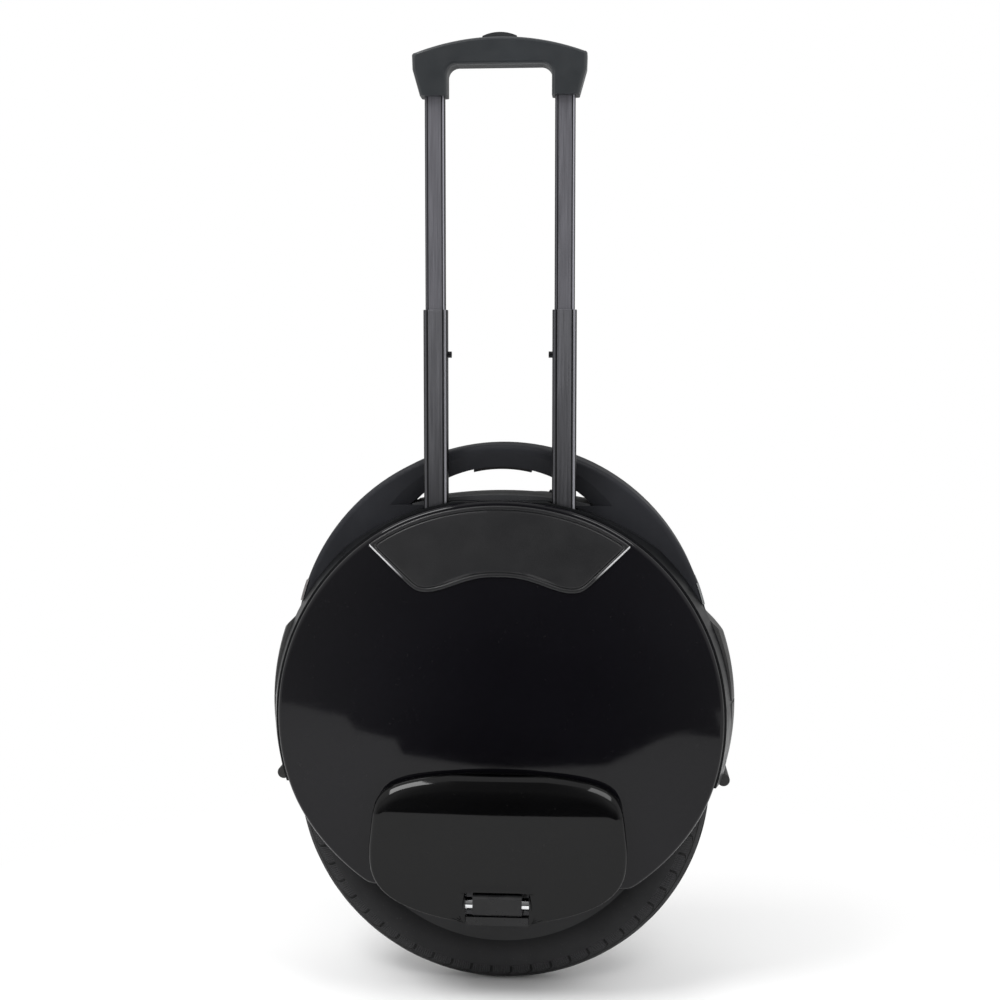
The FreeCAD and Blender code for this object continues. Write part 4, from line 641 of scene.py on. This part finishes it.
def pedal_surface(side):
    """Rows across the pedal at rising heights, split round the notch: a face, a back and a wall between them."""
    heights = np.concatenate([
        pedal_low + (notch_top - pedal_low) * (0.5 - 0.5 * np.cos(np.linspace(0, np.pi, low_rows))),
        notch_top + (pedal_top - notch_top) * np.sin(np.linspace(0, np.pi / 2, 46)[1:]) ** 0.9,
    ])
    share = 0.5 - 0.5 * np.cos(np.linspace(0, np.pi, 72))
    zs = np.linspace(pedal_low, pedal_top, 90)
    full = pedal_half_length(zs)
    right = np.stack([full, zs], axis=-1)[full > notch_half * (zs < notch_top)]
    notch = np.array([[notch_half, notch_top], [-notch_half, notch_top]])
    outline = np.concatenate([notch[:1], right, (right * (-1, 1))[::-1], notch[1:]])
    places, faces, count = [], [], 0
    for z, part in ((heights[low_rows - 1:], 0), (heights[:low_rows], 1), (heights[:low_rows], -1)):
        half = pedal_half_length(z)[:, None]
        inner_end = notch_half if part else -half
        x = inner_end + (np.maximum(half, inner_end) - inner_end) * share[None, :]
        places.append(np.stack([x * (part or 1), z[:, None] + 0 * x], axis=-1).reshape(-1, 2))
        faces.append(grid_faces(*x.shape, start=count))
        count += x.size
    places, faces = np.concatenate(places), np.concatenate(faces)
    x, z = places.T
    gap = nearest_gap(x, z, outline)
    high = np.clip((z - pedal_roll_from) / top_fade, 0, 1)
    high = high * high * (3 - 2 * high)
    edge = pedal_edge * (0.3 + 0.7 * np.clip((z - edge_from) / edge_fade, 0, 1)) * (1 - 0.8 * high)
    roll = pedal_lean * np.clip((z - pedal_roll_from) / (pedal_top - pedal_roll_from), 0, 1) ** 2
    roll = roll + high * (top_bend - np.sqrt(top_bend ** 2 - np.clip(top_band - gap, 0, None) ** 2))
    belly = pedal_belly * (x / pedal_end) ** 2
    face = pedal_outer - roll - belly - edge * (1 - rolled(gap, edge))
    back = pedal_inner + back_edge * (1 - rolled(gap, back_edge))
    points = np.concatenate([np.stack([x, side * depth, z], axis=-1) for depth in (face, back)])
    rim = sheet_rim(places, faces)
    wall = np.stack([rim[:, 0], rim[:, 1], rim[:, 1] + count, rim[:, 0] + count], axis=-1)
    return points, np.concatenate([faces, faces + count, wall])


pedal_gloss = gloss("pedal_gloss", (0.0022, 0.0022, 0.0024), roughness=0.05)
shaped_piece("pedal_plate_near", *pedal_surface(-1), "pedal_near", "gloss_black", pedal_gloss, "pedal_near")
shaped_piece("pedal_plate_far", *pedal_surface(1), "pedal_far", "gloss_black", pedal_gloss, "pedal_far")
finish_nodes(
    moulded("tread_grip", (0.018, 0.018, 0.018), roughness=0.8, grain=350, depth=0.0004,
            spread=0.1, specular=0.4, dust=0.1),
    "pedal_tread_near", "pedal_tread_far",
)

# Trolley: flat oval tubes of dark anodised alloy with a flat along the middle, set off at its sides by lines of
# painted shade and a strip painted lighter on the right and darker on the left.
# The middle tubes slide in fixed sleeves inside the near pod, the upper tubes in the middle tubes.
tube_reach = 0.0608
tube_side = -0.0435
tube_ease = 0.0004
# Heights over which the painted reflection on the tubes' flats goes from dark to pale.
painted_shade_to, painted_light_from = 0.48, 0.60
line_fade = 0.0004


def tube_surface(width, depth, wall, corner, low, high):
    """A rounded-rectangle ring carried up from low to high, outside and inside, at both places, ends eased."""
    turn = np.linspace(0, 2 * np.pi, 96, endpoint=False)
    quarter = np.sign(np.cos(turn)), np.sign(np.sin(turn))

    def ring(inset):
        bend = max(corner - inset, tube_ease)
        half_w, half_d = width / 2 - inset - bend, depth / 2 - inset - bend
        across = quarter[0] * half_w + bend * np.cos(turn)
        return np.stack([across, quarter[1] * half_d + bend * np.sin(turn)], axis=-1)

    ease = tube_ease
    rows = [(ease, low), (0, low + ease), (0, high - ease), (ease, high), (wall, high), (wall, low)]
    sections = np.stack([ring(inset) for inset, _ in rows], axis=1)
    height = np.array([z for _, z in rows])[None, :] + 0 * sections[..., 0]
    points, faces, start = [], [], 0
    for place in (-tube_reach, tube_reach):
        tube = np.stack([sections[..., 0] + place, sections[..., 1] + tube_side, height], axis=-1)
        points.append(tube.reshape(-1, 3))
        faces.append(grid_faces(len(turn), len(rows), True, True, start))
        start += len(turn) * len(rows)
    return np.concatenate(points), np.concatenate(faces)


def anodised(name, flat, lines):
    """Dark anodised tube: a grained flat, darker toward the foot and paler above as a painted reflection, with a
    dark line of painted shade, a strip and a dark corner of painted shade each side.
    """
    material, tree, shader, place = material_named(name)
    x, _, z = parted(tree, place)
    off = worked(tree, "SUBTRACT", x, worked(tree, "MULTIPLY", worked(tree, "SIGN", x), tube_reach))
    aside = worked(tree, "ABSOLUTE", off)
    grain = noise(tree, place, 900, 4, (1, 1, 0.02))
    dark, light = shaded(flat, 0.08), shaded(flat, 1.25)
    # Painted reflection and shade: the flat is darker toward the foot and paler with height.
    painted_light_above = ranged(tree, z, painted_shade_to, painted_light_from, 0.4, 1)
    tone = blended(tree, worked(tree, "MULTIPLY", ranged(tree, grain, 0.3, 0.7, 0.75, 1), painted_light_above), dark, light)
    # Painted highlight on the right-hand strip and painted shade on the left-hand strip of each tube.
    strip = blended(tree, worked(tree, "GREATER_THAN", off, 0), shaded(flat, 0.5), shaded(flat, 1.8))
    # Painted shade: on each side, a dark line where a groove lies and a dark corner on the rounded edge.
    for start, colour in zip(lines, (dark, strip, dark)):
        tone = blended(tree, ranged(tree, aside, start, start + line_fade, 0, 1), tone, colour)
    joined(tree, tone, shader.inputs["Base Color"])
    joined(tree, ranged(tree, grain, 0.3, 0.7, 0.3, 0.46), shader.inputs["Roughness"])
    shader.inputs["Metallic"].default_value = 0.75
    bumped(tree, shader, grain, 0.00006, 0.5)
    return material


mid_anodised = anodised("mid_anodised", (0.150, 0.150, 0.163), lines=(0.0064, 0.0080, 0.0100))
upper_anodised = anodised("upper_anodised", (0.180, 0.178, 0.198), lines=(0.0060, 0.0071, 0.0084))
mid_tubes = tube_surface(width=0.0228, depth=0.0144, wall=0.0016, corner=0.0034, low=0.420, high=0.663)
shaped_piece("mid_tube_pair", *mid_tubes, "trolley_mid", "tube_alloy", mid_anodised, "trolley_mid_tubes")
upper_tubes = tube_surface(width=0.0190, depth=0.0106, wall=0.0014, corner=0.0030, low=0.618, high=0.897)
shaped_piece("upper_tube_pair", *upper_tubes, "trolley_upper", "tube_alloy", upper_anodised, "trolley_upper_tubes")
finish_nodes(
    metal("sleeve_alloy", (0.10, 0.10, 0.105), roughness=0.4, scale=300, stretch=(1, 1, 0.03)),
    "trolley_sleeves",
)
finish_nodes(
    metal("pin_black", (0.030, 0.030, 0.032), roughness=0.35, scale=90, stretch=(1, 6, 1)),
    "trolley_lock_pins",
)

# Grip: two moulded halves screwed together over the upper tubes' ends, in satin charcoal, with a
# bowed top, tapering legs and the release button in the middle of the top.
def satin(name, colour, roughness, coat):
    """Satin moulded plastic: cloudy tone and fine grain under a thin smoother skin that catches light."""
    material = moulded(name, colour, roughness, grain=1000, depth=0.00005, spread=0.08, specular=0.4)
    shader = material.node_tree.nodes["Principled BSDF"]
    shader.inputs["Coat Weight"].default_value = coat
    shader.inputs["Coat Roughness"].default_value = 0.16
    return material


grip_satin = satin("grip_satin", (0.0115, 0.0145, 0.0175), roughness=0.5, coat=0.5)
finish_nodes(grip_satin, "grip_front", "grip_back")
finish_nodes(satin("release_satin", (0.0125, 0.0150, 0.0170), roughness=0.46, coat=0.4), "release_button")
finish_nodes(bright_steel, "grip_screws")

# Power button and charge socket in the top of the far pod: a round button in its switch cup,
# and a socket with three gilt contacts under a hinged rubber cap.
finish_nodes(
    moulded("switch_plastic", (0.014, 0.014, 0.015), roughness=0.38, depth=0.00005),
    "power_button", "power_switch", "charge_port",
)
finish_nodes(moulded("cap_rubber", (0.016, 0.016, 0.016), roughness=0.62, grain=600), "charge_cap")
finish_nodes(metal("gilt_contact", (0.75, 0.53, 0.20), roughness=0.22, scale=200), "charge_contacts")
finish_nodes(bright_steel, "charge_cap_pin")

# Studio: a pale floor under an even white surround, two soft lamps above, and dark panels before
# and behind the object that only reflections see.
scene = bpy.context.scene
scene.view_settings.view_transform = "Standard"


def flat_panel(name, corners, material):
    """A flat stage panel with these corners."""
    mesh = bpy.data.meshes.new(name)
    mesh.from_pydata(corners, [], [range(len(corners))])
    mesh.materials.append(material)
    panel = bpy.data.objects.new(name, mesh)
    scene.collection.objects.link(panel)
    return panel


floor_paint, floor_tree, floor_shader, floor_place = material_named("floor_paint")
floor_tone = blended(floor_tree, noise(floor_tree, floor_place, 3, 2), (0.93, 0.93, 0.93), (0.96, 0.96, 0.96))
joined(floor_tree, floor_tone, floor_shader.inputs["Base Color"])
floor_shader.inputs["Roughness"].default_value = 0.9
floor_shader.inputs["Specular IOR Level"].default_value = 0.1
floor_size = 30
fade_from, fade_to = 0.2, 0.7
floor_reach = floor_tree.nodes.new("ShaderNodeVectorMath")
floor_reach.operation = "LENGTH"
joined(floor_tree, floor_place, floor_reach.inputs[0])
floor_path = floor_tree.nodes.new("ShaderNodeLightPath")
floor_far = ranged(floor_tree, floor_reach.outputs["Value"], fade_from, fade_to, 0, 1)
floor_fade = worked(floor_tree, "MULTIPLY", floor_far, floor_path.outputs["Is Camera Ray"])
floor_white = floor_tree.nodes.new("ShaderNodeEmission")
floor_mix = floor_tree.nodes.new("ShaderNodeMixShader")
joined(floor_tree, floor_fade, floor_mix.inputs[0])
joined(floor_tree, floor_shader.outputs[0], floor_mix.inputs[1])
joined(floor_tree, floor_white.outputs[0], floor_mix.inputs[2])
joined(floor_tree, floor_mix.outputs[0], floor_tree.nodes["Material Output"].inputs["Surface"])
floor_corners = [(x * floor_size, y * floor_size, 0) for x, y in ((-1, -1), (1, -1), (1, 1), (-1, 1))]
flat_panel("floor", floor_corners, floor_paint)

mat_corners = [
    (-0.67, -1.35), (0.48, -1.35), (0.44, -1.06), (0.35, -1.12), (0.29, -1.06), (0.24, -0.98),
    (0.16, -0.86), (0.04, -0.84), (-0.06, -0.83), (-0.16, -0.87), (-0.26, -0.91), (-0.30, -1.03),
    (-0.41, -1.10), (-0.47, -1.23),
]
dark_panel, panel_tree, _, panel_place = material_named("dark_panel")
panel_x, _, panel_z = parted(panel_tree, panel_place)
panel_off = worked(panel_tree, "ABSOLUTE", panel_x)
glow = panel_tree.nodes.new("ShaderNodeEmission")
panel_side = worked(panel_tree, "POWER", ranged(panel_tree, panel_off, 0.1, 0.75, 0, 1), 1.6)
panel_rise = worked(panel_tree, "MULTIPLY_ADD", ranged(panel_tree, panel_z, 0.12, 0.55, 0, 1), 0.16, 0.012)
joined(panel_tree, worked(panel_tree, "MULTIPLY_ADD", panel_side, 0.55, panel_rise), glow.inputs["Strength"])
joined(panel_tree, glow.outputs[0], panel_tree.nodes["Material Output"].inputs["Surface"])
panel_half, panel_height, mat_height = 1.4, 3, 0.001
panel_outline = [(-panel_half, 0), (panel_half, 0), (panel_half, panel_height), (-panel_half, panel_height)]
for label, corners in (
    ("front", [(x, -1.35, z) for x, z in panel_outline]),
    ("back", [(x, 1.5, z) for x, z in panel_outline]),
    ("mat", [(x, y, mat_height) for x, y in mat_corners]),
):
    panel = flat_panel("panel_" + label, corners, dark_panel)
    panel.visible_camera = False
    panel.visible_diffuse = False
    panel.visible_shadow = False
    panel.visible_transmission = False

world = bpy.data.worlds.new("white_surround")
scene.world = world
world.use_nodes = True
sky = world.node_tree
path = sky.nodes.new("ShaderNodeLightPath")
seen = worked(sky, "MAXIMUM", path.outputs["Is Camera Ray"], path.outputs["Is Glossy Ray"])
seen = worked(sky, "MAXIMUM", seen, path.outputs["Is Transmission Ray"])
joined(sky, ranged(sky, seen, 0, 1, 0.85, 1.0), sky.nodes["Background"].inputs["Strength"])
sky.nodes["Background"].inputs["Color"].default_value = (1, 1, 1, 1)

lamp_size = 0.9
lamp_lean = 28
for label, x, power in (("left", -1.1, 27), ("right", 1.1, 13)):
    light = bpy.data.lights.new("softbox_" + label, "AREA")
    light.shape = "RECTANGLE"
    light.size = light.size_y = lamp_size
    light.energy = power
    lamp = bpy.data.objects.new("softbox_" + label, light)
    lamp.location = (x, -0.9, 2.2)
    lamp.rotation_euler = (math.radians(25), math.radians(math.copysign(lamp_lean, x)), 0)
    scene.collection.objects.link(lamp)

lens = bpy.data.cameras.new("photo_camera")
lens.sensor_width = 36
lens.lens = 55.44
camera = bpy.data.objects.new("photo_camera", lens)
camera.location = (0.101, -1.5, 0.611)
camera.rotation_euler = (math.radians(85), 0, math.radians(3.97))
scene.collection.objects.link(camera)
scene.camera = camera
